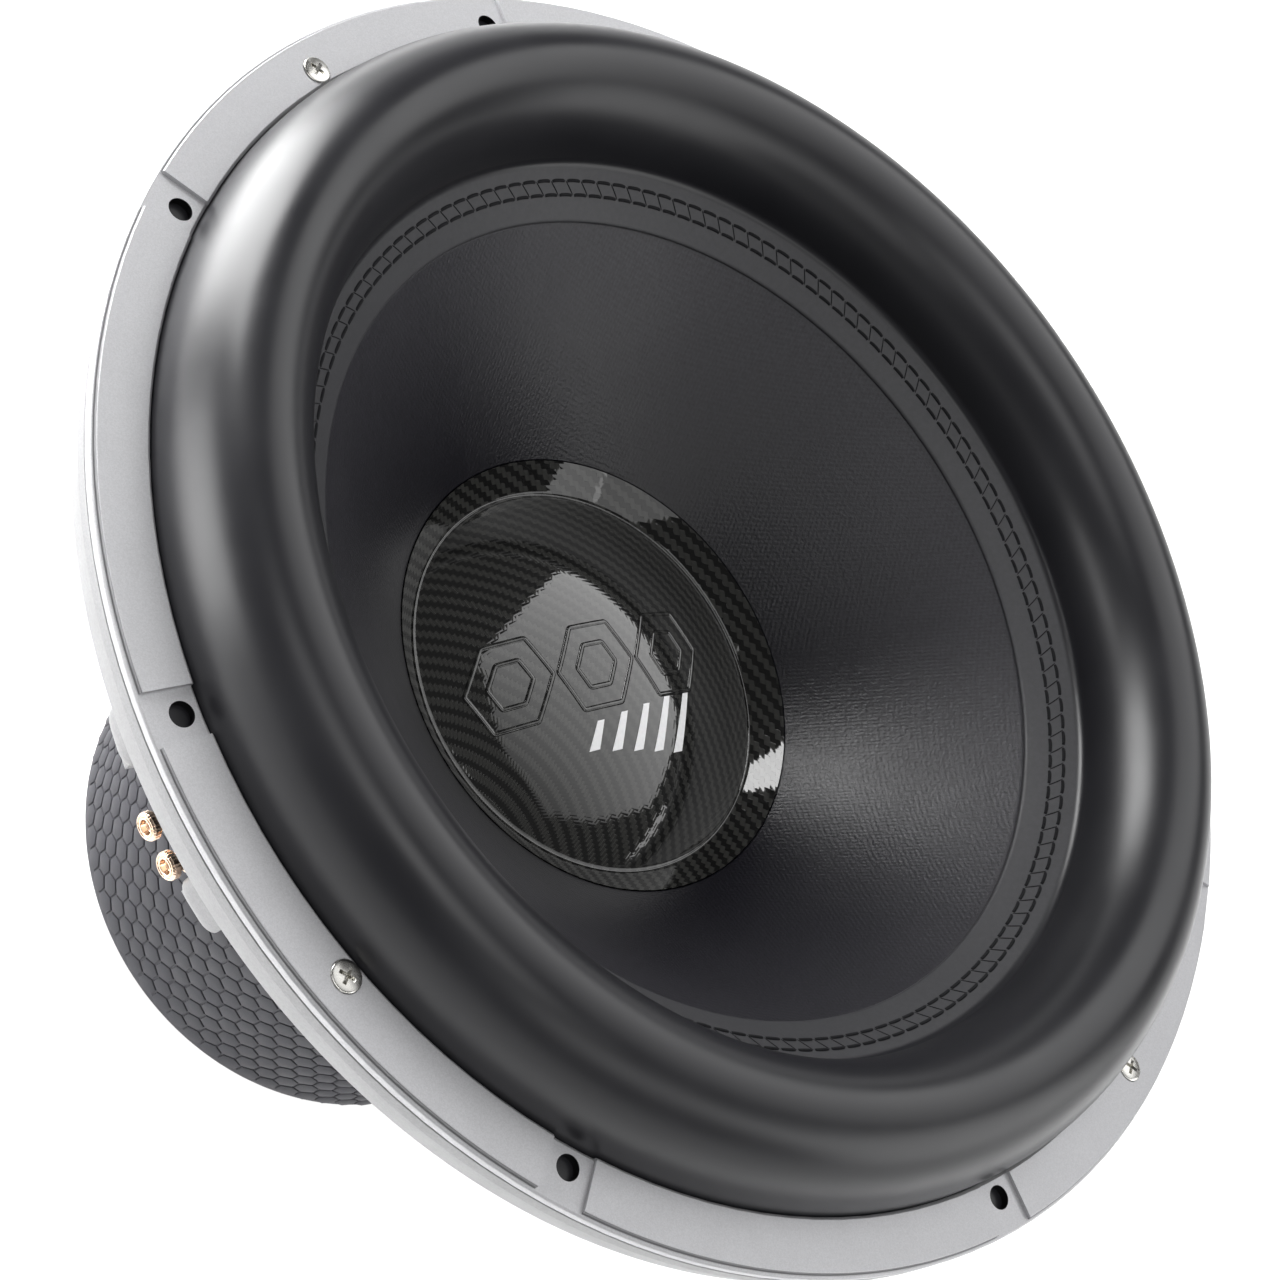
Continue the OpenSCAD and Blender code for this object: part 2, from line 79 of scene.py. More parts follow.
def low_z(node):
    return round(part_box(node)[0][2], 5)


def high_z(node):
    return round(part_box(node)[1][2], 5)


def outer_r(node):
    low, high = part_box(node)
    return round(max(high[0] - low[0], high[1] - low[1]) / 2, 5)


def joint_axis(name):
    for joint in frame["record"]["behaviour"]["joints"]:
        if joint["name"] == name:
            return Vector(joint["axis"])


FRONT_Z = high_z("trim_ring")
FRAME_R = outer_r("trim_ring")
TRIM_BOTTOM_Z = low_z("trim_ring")
SEAT_Z = TRIM_BOTTOM_Z - 2.2 * MM
BOLT_COUNT = 8
BOLT_CIRCLE_R = 223 * MM
BOLT_HOLE_R = 4 * MM
SCREW_COUNT = 4
SCREW_CIRCLE_R = 222 * MM
SCREW_FIRST_ANGLE = radians(67.5)
CONE_RIM_R = outer_r("cone_body")
CONE_RIM_Z = high_z("cone_body")
CAP_R = outer_r("dust_cap")
BOOT_R = outer_r("motor_boot")
BOOT_H = high_z("motor_boot")
FORMER_R = outer_r("coil_former")
SPIDER_R = outer_r("spider_upper")

ROLL_TOP_Z = high_z("surround")
ROLL_INNER_R = CONE_RIM_R - 0.6 * MM
ROLL_OUTER_R = FRAME_R - 19 * MM
ROLL_FOOT_Z = FRONT_Z - 2.8 * MM
GROOVE_R = 150.1 * MM
GROOVE_Z = FRONT_Z - 16.8 * MM
FOAM_T = 2.2 * MM
CAP_GROOVE_R = 75.1 * MM
CAP_GROOVE_Z = FRONT_Z - 89.5 * MM
CAP_TOP_Z = high_z("dust_cap")
CAP_RISE = CAP_TOP_Z - CAP_GROOVE_Z
CAP_SPHERE_R = (CAP_GROOVE_R ** 2 + CAP_RISE ** 2) / (2 * CAP_RISE)
BAND_FOOT = (GROOVE_R + 0.8 * MM, GROOVE_Z + 2.2 * MM)
BAND_TOP = (ROLL_INNER_R - 2.2 * MM, CONE_RIM_Z + 1.0 * MM)
STITCH_COUNT = 144
STITCH_ROWS = (157.8 * MM, 162.0 * MM)
LIP_R = 84.3 * MM
LIP_Z = FRONT_Z - 80.1 * MM
CARBON_CENTRE = (35.5 * MM, 125.3 * MM, 0)
CARBON_TOW = 1.75 * MM
OUTWARD = {"a": -joint_axis("button_a1_press"), "b": -joint_axis("button_b1_press")}
POSTS = ("a1", "a2", "b1", "b2")
POST_PITCH = 13.4 * MM
BLOCK_BACK_R = 187.5 * MM
BLOCK_FRONT_R = 196 * MM
SPRING_HOLE_R = 3.4 * MM
WIRE_HOLE_R = 2 * MM
RIM_BOTTOM_Z = TRIM_BOTTOM_Z - 16.1 * MM
RIM_INNER_R = 206 * MM
SPIGOT_R = 212.5 * MM
PANEL_R = FRAME_R - 1.4 * MM
PANEL_HALF_GAP = radians(2.05)
ARM_COUNT = 6
MOTOR_BOLT_CIRCLE_R = 96 * MM
MOTOR_BOLT_HOLE_R = 3.2 * MM
ARM_ANGLE = radians(49.2)
SPOKE_HALF_PITCH = radians(8)
SPOKE_WIDTH = radians(5.2)
SPOKE_THICK = 9 * MM
SPOKE_THICK_AT_RIM = 7 * MM
VENT_R = 24.1 * MM
BOOT_OPENING_R = 104.5 * MM
TERMINAL_Z = round(sum(corner[2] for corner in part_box("post_a1")) / 2, 4)


# ---- outlines and meshes ----

def add_object(name, data):
    thing = bpy.data.objects.new(name, data)
    bpy.context.scene.collection.objects.link(thing)
    return thing


def arc(centre, radii, start, end, steps):
    """Points of an elliptical arc in the (radius, height) plane, angles in degrees."""
    angles = np.radians(np.linspace(start, end, steps + 1))
    return [(centre[0] + radii[0] * cos(t), centre[1] + radii[1] * sin(t)) for t in angles]


def rounded(corners, steps=4):
    """A closed outline of (radius, height, fillet) corners, with each fillet as an arc."""
    points = []
    count = len(corners)
    for i, (x, y, fillet) in enumerate(corners):
        here = np.array((x, y))
        before = np.array(corners[i - 1][:2]) - here
        after = np.array(corners[(i + 1) % count][:2]) - here
        reach = min(np.linalg.norm(before), np.linalg.norm(after))
        before = before / np.linalg.norm(before)
        after = after / np.linalg.norm(after)
        half = acos(max(-1.0, min(1.0, float(before @ after)))) / 2
        if fillet <= 0 or half > radians(88):
            points.append(tuple(here))
            continue
        back = min(fillet / tan(half), reach * 0.48)
        for k in range(steps + 1):
            t = k / steps
            point = (1 - t) ** 2 * before * back + t ** 2 * after * back
            points.append(tuple(here + point))
    return points


def mm(*corners):
    """The same corners in metres."""
    return [tuple(value * MM for value in corner) for corner in corners]


def beside(r, z, *steps):
    """Points at steps, in millimetres, from (r, z)."""
    return [(r + across * MM, z + up * MM) for across, up in steps]


def mesh_object(name, verts, faces, sharp=35):
    """A smooth-shaded object from points and faces, with its sharp edges marked."""
    mesh = bpy.data.meshes.new(name)
    mesh.from_pydata([tuple(v) for v in verts], [], [tuple(int(i) for i in f) for f in faces])
    body = bmesh.new()
    body.from_mesh(mesh)
    bmesh.ops.remove_doubles(body, verts=body.verts, dist=1e-7)
    bmesh.ops.recalc_face_normals(body, faces=body.faces)
    body.to_mesh(mesh)
    body.free()
    mesh.shade_smooth()
    mesh.set_sharp_from_angle(angle=radians(sharp))
    return add_object(name, mesh)


def grid_faces(rows, columns, closed_rows=False, closed_columns=False):
    """Quads of a rows by columns grid of points."""
    faces = []
    for i in range(rows if closed_rows else rows - 1):
        for j in range(columns if closed_columns else columns - 1):
            a = i * columns + j
            b = i * columns + (j + 1) % columns
            c = ((i + 1) % rows) * columns + (j + 1) % columns
            d = ((i + 1) % rows) * columns + j
            faces.append((a, b, c, d))
    return faces


def swept(rings, closed=False):
    """Verts and faces of a skin over equal rings of points, with flat ends unless it closes on itself."""
    size = len(rings[0])
    verts = [point for ring in rings for point in ring]
    faces = grid_faces(len(rings), size, closed_rows=closed, closed_columns=True)
    if not closed:
        faces += [tuple(range(size))[::-1], tuple(range(len(verts) - size, len(verts)))]
    return verts, faces


def turned(outline, segments):
    """A closed (radius, height) outline turned round Z."""
    angles = [2 * pi * i / segments for i in range(segments)]
    return swept([[polar(r, angle, z) for r, z in outline] for angle in angles], closed=True)


def lathe(name, outline, segments=288, sharp=35):
    return mesh_object(name, *turned(outline, segments), sharp=sharp)


def joined(parts):
    """One list of verts and faces from several."""
    verts, faces, start = [], [], 0
    for part_verts, part_faces in parts:
        verts.extend(part_verts)
        faces.extend([tuple(i + start for i in face) for face in part_faces])
        start += len(part_verts)
    return verts, faces


def boolean(piece, shapes, operation="DIFFERENCE"):
    """Cuts closed shapes out of a piece, or joins them to it."""
    for index, (verts, faces) in enumerate(shapes):
        tool = mesh_object(f"tool_{index}", verts, faces)
        modifier = piece.modifiers.new("boolean", "BOOLEAN")
        modifier.operation = operation
        modifier.solver = "EXACT"
        modifier.object = tool
        result = piece.evaluated_get(bpy.context.evaluated_depsgraph_get())
        mesh = bpy.data.meshes.new_from_object(result)
        piece.modifiers.clear()
        piece.data = mesh
        bpy.data.objects.remove(tool)
    return piece


def rod_points(radius, low, high, matrix=Matrix(), sides=40):
    """A cylinder along local Z."""
    angles = [2 * pi * k / sides for k in range(sides)]
    return swept([[matrix @ polar(radius, angle, z) for angle in angles] for z in (low, high)])


def ring_of_rods(count, circle_r, first, radius, low, high):
    """Cylinders along Z at equal steps round the axis."""
    places = [polar(circle_r, first + 2 * pi * i / count, 0) for i in range(count)]
    return joined([rod_points(radius, low, high, Matrix.Translation(place)) for place in places])


def tube_points(path, radius, sides, closed=False):
    """A round tube along a path, with flat ends. radius is a number or a function of (step, angle)."""
    path = [Vector(p) for p in path]
    count = len(path)
    rings = []
    normal = None
    for i, point in enumerate(path):
        ahead = path[(i + 1) % count] if closed or i < count - 1 else point
        behind = path[i - 1] if closed or i > 0 else point
        run = (ahead - behind).normalized()
        if normal is None:
            side = Vector((0, 0, 1)) if abs(run.z) < 0.9 else Vector((1, 0, 0))
            normal = run.cross(side).normalized()
        normal = (normal - run * normal.dot(run)).normalized()
        across = run.cross(normal)
        ring = []
        for k in range(sides):
            angle = 2 * pi * k / sides
            r = radius(i, angle) if callable(radius) else radius
            ring.append(point + (normal * cos(angle) + across * sin(angle)) * r)
        rings.append(ring)
    return swept(rings, closed)


def polar(r, angle, z):
    return Vector((r * cos(angle), r * sin(angle), z))


# ---- materials ----

class Shader:
    """A Principled material under construction."""

    def __init__(self, name, colour, roughness, metallic=0.0, **sockets):
        self.material = bpy.data.materials.new(name)
        self.material.use_nodes = True
        self.tree = self.material.node_tree
        self.bsdf = self.tree.nodes["Principled BSDF"]
        self.bsdf.inputs["Base Color"].default_value = (*colour, 1)
        self.bsdf.inputs["Roughness"].default_value = roughness
        self.bsdf.inputs["Metallic"].default_value = metallic
        for socket, value in sockets.items():
            self.bsdf.inputs[socket.replace("_", " ")].default_value = value
        self.place = self.add("TexCoord").outputs["Object"]

    def add(self, kind, inputs=None, **settings):
        """A node with its settings and its inputs, each a value or another node's output."""
        node = self.tree.nodes.new(f"ShaderNode{kind}")
        for key, value in settings.items():
            setattr(node, key, value)
        for key, value in (inputs or {}).items():
            if isinstance(value, bpy.types.NodeSocket):
                self.tree.links.new(value, node.inputs[key])
            else:
                node.inputs[key].default_value = value
        return node

    def math(self, operation, a, b=0.0, c=0.0):
        return self.add("Math", {0: a, 1: b, 2: c}, operation=operation).outputs[0]

    def muladd(self, a, share, b):
        return self.math("MULTIPLY_ADD", a, share, b)

    def times(self, a, b):
        return self.math("MULTIPLY", a, b)

    def hypot(self, a, b):
        return self.math("SQRT", self.math("ADD", self.times(a, a), self.times(b, b)))

    def noise(self, size, detail=3.0, stretch=None, rough=0.55):
        """Noise whose lumps are about size across, stretched along an axis if asked."""
        place = self.place
        if stretch:
            place = self.add("Mapping", {"Vector": place, "Scale": stretch}).outputs[0]
        return self.add("TexNoise", {"Vector": place, "Scale": 1 / size, "Detail": detail,
                                     "Roughness": rough}).outputs["Fac"]

    def span(self, value, low, high, start=0.0, end=1.0):
        """value from start..end, spread over low..high."""
        return self.add("MapRange", {0: value, 1: start, 2: end, 3: low, 4: high}).outputs[0]

    def mix(self, factor, dark, light):
        """dark at a factor of 0, light at 1, each a colour or a node's output."""
        dark, light = ((*end, 1) if isinstance(end, tuple) else end for end in (dark, light))
        return self.add("Mix", {0: factor, 6: dark, 7: light}, data_type="RGBA").outputs[2]

    def link(self, output, socket):
        self.tree.links.new(output, self.bsdf.inputs[socket])

    def colour(self, output):
        self.link(output, "Base Color")

    def roughness(self, output):
        self.link(output, "Roughness")

    def uneven(self, noise, low, high):
        """Most of a noise's range, spread over low..high."""
        return self.span(noise, low, high, 0.3, 0.7)

    def bump(self, height, depth, socket="Normal"):
        """Bump of that depth, in metres, from a height of 0 to 1."""
        node = self.add("Bump", {"Height": height, "Strength": 1.0, "Distance": depth})
        self.link(node.outputs[0], socket)

    def grained(self, cloud, tones, grain, depth, rough=None):
        """Two tones by a cloud, and bump by a grain. rough is (low, high, whether the grain makes it)."""
        cloud, grain = self.noise(*cloud), self.noise(*grain)
        self.colour(self.mix(cloud, *tones))
        if rough:
            self.roughness(self.uneven(grain if rough[2] else cloud, rough[0], rough[1]))
        self.bump(grain, depth)
        return self.material

    def sectors(self, count):
        """The radius in the XY plane, and the angle from the middle of the nearest of count equal sectors."""
        axes = self.add("SeparateXYZ", {0: self.place}).outputs
        turn = self.math("ADD", self.math("ARCTAN2", axes[1], axes[0]), pi / count)
        turn = self.math("FLOORED_MODULO", turn, 2 * pi / count)
        return self.hypot(axes[0], axes[1]), self.math("SUBTRACT", turn, pi / count)

    def bores(self, count, circle_r, bore_r):
        """1 on the walls of a ring of bores along Z, and 0 elsewhere."""
        far, turn = self.sectors(count)
        along = self.math("SUBTRACT", self.times(far, self.math("COSINE", turn)), circle_r)
        across = self.times(far, self.math("SINE", turn))
        return self.math("LESS_THAN", self.hypot(along, across), bore_r)

    def panel_corner_shade(self):
        """Mask for painted shade: 1 in the corner at the foot of a raised panel's outer edge, and 0
        elsewhere.
        """
        far, turn = self.sectors(BOLT_COUNT)
        off = self.math("ABSOLUTE", self.math("SUBTRACT", far, PANEL_R + 0.05 * MM))
        near = self.math("LESS_THAN", off, 0.3 * MM)
        on_panel = self.math("GREATER_THAN", self.math("ABSOLUTE", turn), PANEL_HALF_GAP)
        return self.times(near, on_panel)

    def weave(self, pitch, turn=0.0):
        """Height of a plain weave lying in the XY plane."""
        turned = self.add("VectorRotate", {"Vector": self.place, "Angle": turn}).outputs[0]
        axes = self.add("SeparateXYZ", {0: turned}).outputs
        u = self.math("SINE", self.times(axes[0], pi / pitch))
        v = self.math("SINE", self.times(axes[1], pi / pitch))
        return self.muladd(self.times(u, v), 0.5, 0.5)


def painted_metal(name, colour, flake, grain, panel_shade=False):
    """Satin silver paint on cast metal: fine flakes and slight orange peel, with the bolt holes' walls
    painted near black as painted shade, and, with panel_shade, a painted shade line at the foot of each
    raised panel.
    """
    paint = Shader(name, colour, 0.45, 0.5)
    bright = tuple(min(1.0, c * 1.14) for c in colour)
    dull = tuple(c * 0.88 for c in colour)
    cells = paint.add("TexVoronoi", {"Vector": paint.place, "Scale": 1 / flake})
    flakes = paint.add("SeparateColor", {0: cells.outputs["Color"]}).outputs[0]
    patches = paint.uneven(paint.noise(0.06, 4.0), 0.4, 0.6)
    coat = paint.mix(patches, paint.mix(flakes, dull, colour), paint.mix(flakes, colour, bright))
    if panel_shade:
        # Painted shade: a dark line in the corner at the foot of each raised panel's outer edge, where shade
        # falls.
        coat = paint.mix(paint.panel_corner_shade(), coat, tuple(c * 0.45 for c in colour))
    # Painted shade: the bolt holes' walls are painted near black, as shade deep inside the bores.
    holes = paint.bores(BOLT_COUNT, BOLT_CIRCLE_R, BOLT_HOLE_R * 1.01)
    paint.colour(paint.mix(holes, coat, (0.012, 0.012, 0.013)))
    paint.roughness(paint.uneven(paint.noise(0.012, 5.0), 0.42, 0.50))
    paint.bump(paint.noise(grain, 2.0), 0.02 * MM)
    return paint.material


def zinc():
    """Bright zinc plate with fine turning marks and a yellow tinge."""
    plate = Shader("zinc_plate", (0.74, 0.73, 0.69), 0.25, 1.0)
    return plate.grained((0.004, 4.0), ((0.62, 0.60, 0.55), (0.86, 0.86, 0.84)),
                         (0.0006, 2.0, (1, 1, 8)), 0.01 * MM, (0.16, 0.36, False))


def foam_skin():
    """The surround's black skin: satin on the roll, and a rougher, greyer pressed band at the cone."""
    skin = Shader("surround_skin", (0.012, 0.012, 0.014), 0.3)
    cloud = skin.noise(0.05, 3.0)
    far = skin.sectors(1)[0]
    band = skin.span(far, 1.0, 0.0, ROLL_INNER_R - 2 * MM, ROLL_INNER_R - 1 * MM)
    fabric = skin.noise(0.0022, 3.0, rough=0.7)
    roll_tone = skin.mix(cloud, (0.010, 0.010, 0.012), (0.016, 0.016, 0.019))
    band_tone = skin.mix(fabric, (0.030, 0.030, 0.033), (0.052, 0.052, 0.056))
    skin.colour(skin.mix(band, roll_tone, band_tone))
    skin.roughness(skin.muladd(band, 0.18, skin.uneven(cloud, 0.29, 0.37)))
    waves = skin.noise(0.02, 1.0)
    skin.bump(skin.muladd(skin.times(fabric, band), 0.5, waves), 0.05 * MM)
    return skin.material


def thread():
    """Twisted black sewing thread, matt."""
    yarn = Shader("stitch_thread", (0.012, 0.012, 0.013), 0.85, Specular_IOR_Level=0.2)
    return yarn.grained((0.0008, 2.0), ((0.007, 0.007, 0.008), (0.016, 0.016, 0.018)),
                        (0.0003, 2.0, (1, 1, 3)), 0.05 * MM)


def cone_fibre():
    """A grainy pressed skin over fine cloth: black with a violet cast, and painted shade that darkens it from
    the rim in to the cap.
    """
    fibre = Shader("cone_fibre", (0.012, 0.012, 0.015), 0.35)
    cloth = fibre.weave(1.05 * MM, 0.5)
    grain = fibre.noise(0.0015, 3.0, rough=0.7)
    cloud = fibre.noise(0.04, 5.0)
    height = fibre.muladd(cloth, 0.22, grain)
    lumps = fibre.span(height, 0.0, 1.0, 0.3, 0.85)
    outwards = fibre.span(fibre.sectors(1)[0], 0.0, 1.0, LIP_R, GROOVE_R - 6 * MM)
    # Painted shade: the colour darkens from the rim in to the cap, as shade falls deep in the bowl.
    painted_shade_inner = fibre.mix(lumps, (0.0015, 0.0015, 0.0025), (0.006, 0.0055, 0.009))
    open_part = fibre.mix(lumps, (0.009, 0.009, 0.011), (0.027, 0.026, 0.032))
    fibre.colour(fibre.mix(outwards, painted_shade_inner, open_part))
    fibre.roughness(fibre.muladd(outwards, 0.14, fibre.uneven(cloud, 0.26, 0.33)))
    fibre.bump(height, 0.19 * MM)
    return fibre.material


def twill(shader):
    """1 where the tow on top in a 2/2 twill runs one way and 0 the other way, and the tows' height."""
    offset = shader.add("VectorMath", {0: shader.place, 1: CARBON_CENTRE}, operation="SUBTRACT")
    axes = shader.add("SeparateXYZ", {0: offset.outputs[0]}).outputs
    radius = shader.sectors(1)[0]
    flank = shader.math("MAXIMUM", shader.math("SUBTRACT", radius, CAP_GROOVE_R), 0.0)
    far = shader.muladd(flank, 0.41, shader.hypot(axes[0], axes[1]))
    along = shader.times(shader.math("ARCTAN2", axes[1], axes[0]), 0.13)
    diagonal = sqrt(0.5) / CARBON_TOW
    u = shader.times(shader.math("ADD", along, far), diagonal)
    v = shader.times(shader.math("SUBTRACT", far, along), diagonal)
    step = shader.math("ADD", shader.math("FLOOR", u), shader.math("FLOOR", v))
    on_top = shader.math("LESS_THAN", shader.math("FLOORED_MODULO", step, 4.0), 1.5)
    crowns = [shader.math("SINE", shader.times(shader.math("FRACT", way), pi)) for way in (u, v)]
    crown = shader.add("Mix", {0: on_top, 2: crowns[0], 3: crowns[1]}).outputs[0]
    return on_top, crown


def carbon_lacquer(name, lacquer):
    """Carbon twill under clear lacquer, from 0 for none to 1 for thick, with a painted sheen on the tows that
    run one way and along the tows' crowns.
    """
    weave = Shader(name, (0.02, 0.02, 0.02), 0.45, 0.0, Coat_Weight=lacquer, Coat_Roughness=0.03,
                   Coat_IOR=1.8, Specular_IOR_Level=0.05)
    on_top, crown = twill(weave)
    # Painted sheen: the tows that run one way are painted lighter than the others, and each tow lighter along
    # its crown.
    tone = weave.times(weave.span(crown, 0.7, 1.0), weave.span(on_top, 0.12, 1.0))
    weave.colour(weave.mix(tone, (0.001, 0.001, 0.001), (0.027, 0.027, 0.025)))
    weave.roughness(weave.span(on_top, 0.6, 0.4))
    weave.bump(weave.muladd(crown, 0.3, on_top), 0.04 * MM)
    weave.bump(crown, 0.006 * MM, "Coat Normal")
    return weave.material


def white_print():
    """White screen print, a little uneven."""
    ink = Shader("white_print", (0.8, 0.8, 0.8), 0.4, Coat_Weight=0.6, Coat_Roughness=0.05)
    return ink.grained((0.0015, 3.0), ((0.72, 0.72, 0.73), (0.88, 0.88, 0.89)), (0.0004, 2.0), 0.01 * MM)


def boot_rubber():
    """Matt grey-black moulded rubber with a dusty bloom."""
    rubber = Shader("boot_rubber", (0.07, 0.07, 0.08), 0.55, Specular_IOR_Level=0.4)
    return rubber.grained((0.02, 5.0), ((0.034, 0.034, 0.040), (0.060, 0.059, 0.070)),
                          (0.0006, 3.0), 0.05 * MM, (0.48, 0.66, False))


def spider_cloth():
    """Resin-stiffened cotton cloth, amber, with an open plain weave."""
    cloth = Shader("spider_cloth", (0.5, 0.36, 0.14), 0.6, Sheen_Weight=0.15)
    height = cloth.weave(0.7 * MM)
    stain = cloth.noise(0.02, 4.0)
    base = cloth.mix(stain, (0.36, 0.24, 0.08), (0.58, 0.43, 0.18))
    cloth.colour(cloth.mix(cloth.span(height, 0.0, 0.65, 0.35, 0.0), base, (0.14, 0.09, 0.03)))
    cloth.roughness(cloth.uneven(stain, 0.45, 0.7))
    cloth.bump(height, 0.15 * MM)
    return cloth.material


def brushed(name, dark, light, roughness, stretch, metallic=1.0):
    """Metal with fine marks along one way, and stains."""
    metal = Shader(name, light, roughness, metallic)
    marks = metal.noise(0.0012, 3.0, stretch)
    stain = metal.noise(0.03, 5.0)
    tone = metal.muladd(marks, 0.5, metal.times(stain, 0.5))
    metal.colour(metal.mix(tone, dark, light))
    metal.roughness(metal.uneven(stain, roughness * 0.75, roughness * 1.35))
    metal.bump(marks, 0.012 * MM)
    return metal.material


def ferrite():
    """Ground ceramic: near black, with small pits."""
    ceramic = Shader("ferrite", (0.05, 0.048, 0.048), 0.55)
    return ceramic.grained((0.01, 4.0), ((0.035, 0.033, 0.033), (0.075, 0.072, 0.07)),
                           (0.0015, 4.0), 0.06 * MM, (0.42, 0.66, True))


def black_plastic():
    """Moulded black plastic with a fine spark-eroded grain."""
    plastic = Shader("black_plastic", (0.018, 0.018, 0.02), 0.45)
    return plastic.grained((0.008, 3.0), ((0.012, 0.012, 0.014), (0.028, 0.028, 0.031)),
                           (0.0005, 2.0), 0.03 * MM, (0.36, 0.56, True))


def pale_floor():
    """Plain white studio floor."""
    floor = Shader("floor", (0.86, 0.86, 0.86), 0.9, Specular_IOR_Level=0.1)
    floor.colour(floor.mix(floor.noise(0.4, 2.0), (0.85, 0.85, 0.85), (0.87, 0.87, 0.87)))
    return floor.material


# ---- pieces ----

def finish_piece(piece, material, body, nodes=()):
    """Gives a new piece its material, its body and the CAD nodes that it stands for."""
    piece.data.materials.clear()
    piece.data.materials.append(material)
    if body:
        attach(piece, body)
    if nodes:
        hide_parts(*nodes)


def dress(name, material, edge=0.0):
    """A CAD node in its material, with its sharp edges eased."""
    node = NODES[name]
    node.data.materials.clear()
    node.data.materials.append(material)
    if edge:
        weld = node.modifiers.new("weld", "WELD")
        weld.merge_threshold = 1e-6
        flat = node.modifiers.new("flat_faces", "DECIMATE")
        flat.decimate_type = "DISSOLVE"
        flat.angle_limit = radians(0.6)
        bevel = node.modifiers.new("edges", "BEVEL")
        bevel.width = edge
        bevel.segments = 2
        bevel.limit_method = "ANGLE"
        bevel.angle_limit = radians(32)


def frame_rim(material):
    """The cast rim: step for the cut-out, tapered edge, seat for the surround, and bolt holes."""
    corners = ((RIM_INNER_R, RIM_BOTTOM_Z - 6 * MM, 1), (SPIGOT_R, RIM_BOTTOM_Z - 6 * MM, 1),
               (SPIGOT_R, RIM_BOTTOM_Z, 0.8), (FRAME_R - 2.6 * MM, RIM_BOTTOM_Z, 1.2),
               (FRAME_R, TRIM_BOTTOM_Z - 5 * MM, 2), (FRAME_R, TRIM_BOTTOM_Z - 0.9 * MM, 0.3),
               (FRAME_R - 1.1 * MM, TRIM_BOTTOM_Z, 0.1), (FRAME_R - 4.4 * MM, TRIM_BOTTOM_Z, 0.1),
               (FRAME_R - 4.4 * MM, SEAT_Z, 0.1), (RIM_INNER_R + 4 * MM, SEAT_Z, 1),
               (RIM_INNER_R, SEAT_Z - 4 * MM, 1))
    rim = lathe("frame_rim", rounded([(r, z, fillet * MM) for r, z, fillet in corners]), 360, sharp=30)
    low, high = RIM_BOTTOM_Z - 1 * MM, TRIM_BOTTOM_Z + 1 * MM
    boolean(rim, [ring_of_rods(BOLT_COUNT, BOLT_CIRCLE_R, 0, BOLT_HOLE_R, low, high)])
    rim.data.set_sharp_from_angle(angle=radians(30))
    finish_piece(rim, material, "frame", ["basket"])


def spoke_points(angle):
    """A rounded bar that runs down from the rim, round the knee and in to the foot."""
    line = mm((209.2, 276), (207.6, 262), (206.3, 250), (206, 240))
    line += arc((199.5 * MM, 233 * MM), (6.5 * MM, 6.5 * MM), 0, -50, 7)
    line += mm((165, 197.4), (130, 170.6), (108, 153.8))
    out = polar(1, angle, 0)
    across = Vector((-out.y, out.x, 0))
    section = []
    for x, y, start in ((1, 1, 0), (-1, 1, 90), (-1, -1, 180), (1, -1, 270)):
        section += arc((x * 0.38, y * 0.38), (0.62, 0.62), start, start + 90, 5)
    rings = []
    for i, (r, z) in enumerate(line):
        before, after = line[max(i - 1, 0)], line[min(i + 1, len(line) - 1)]
        run = Vector((after[0] - before[0], after[1] - before[1])).normalized()
        normal = out * -run.y + Vector((0, 0, run.x))
        thick = SPOKE_THICK_AT_RIM if z > 260 * MM else SPOKE_THICK
        middle = out * r + Vector((0, 0, z))
        half = SPOKE_WIDTH * r / 2
        rings.append([middle + across * (x * half) + normal * (y * thick / 2) for x, y in section])
    return swept(rings)


def sector_points(outline, middle, width, steps=10):
    """A closed (radius, height) outline swept over an angle."""
    angles = [middle + width * (i / steps - 0.5) for i in range(steps + 1)]
    return swept([[polar(r, angle, z) for r, z in outline] for angle in angles])


def rectangle(low_r, high_r, low_z, high_z, fillet):
    corners = ((low_r, low_z), (high_r, low_z), (high_r, high_z), (low_r, high_z))
    return rounded([(r, z, fillet) for r, z in corners])


def terminal_brackets():
    """The walls and the cheeks that carry the terminal blocks between two spokes."""
    low, high = TERMINAL_Z - 11 * MM, TERMINAL_Z + 11 * MM
    wall = rectangle(181.5 * MM, BLOCK_BACK_R, low, high, 1 * MM)
    cheek = rectangle(182 * MM, 203.5 * MM, low - 0.5 * MM, high + 0.5 * MM, 1.5 * MM)
    middles = (ARM_ANGLE, ARM_ANGLE + pi)
    walls = [sector_points(wall, middle, radians(15)) for middle in middles]
    cheeks = [sector_points(cheek, middle + side * radians(7), radians(2.2), 2)
              for middle in middles for side in (-1, 1)]
    return joined(walls), joined(cheeks)


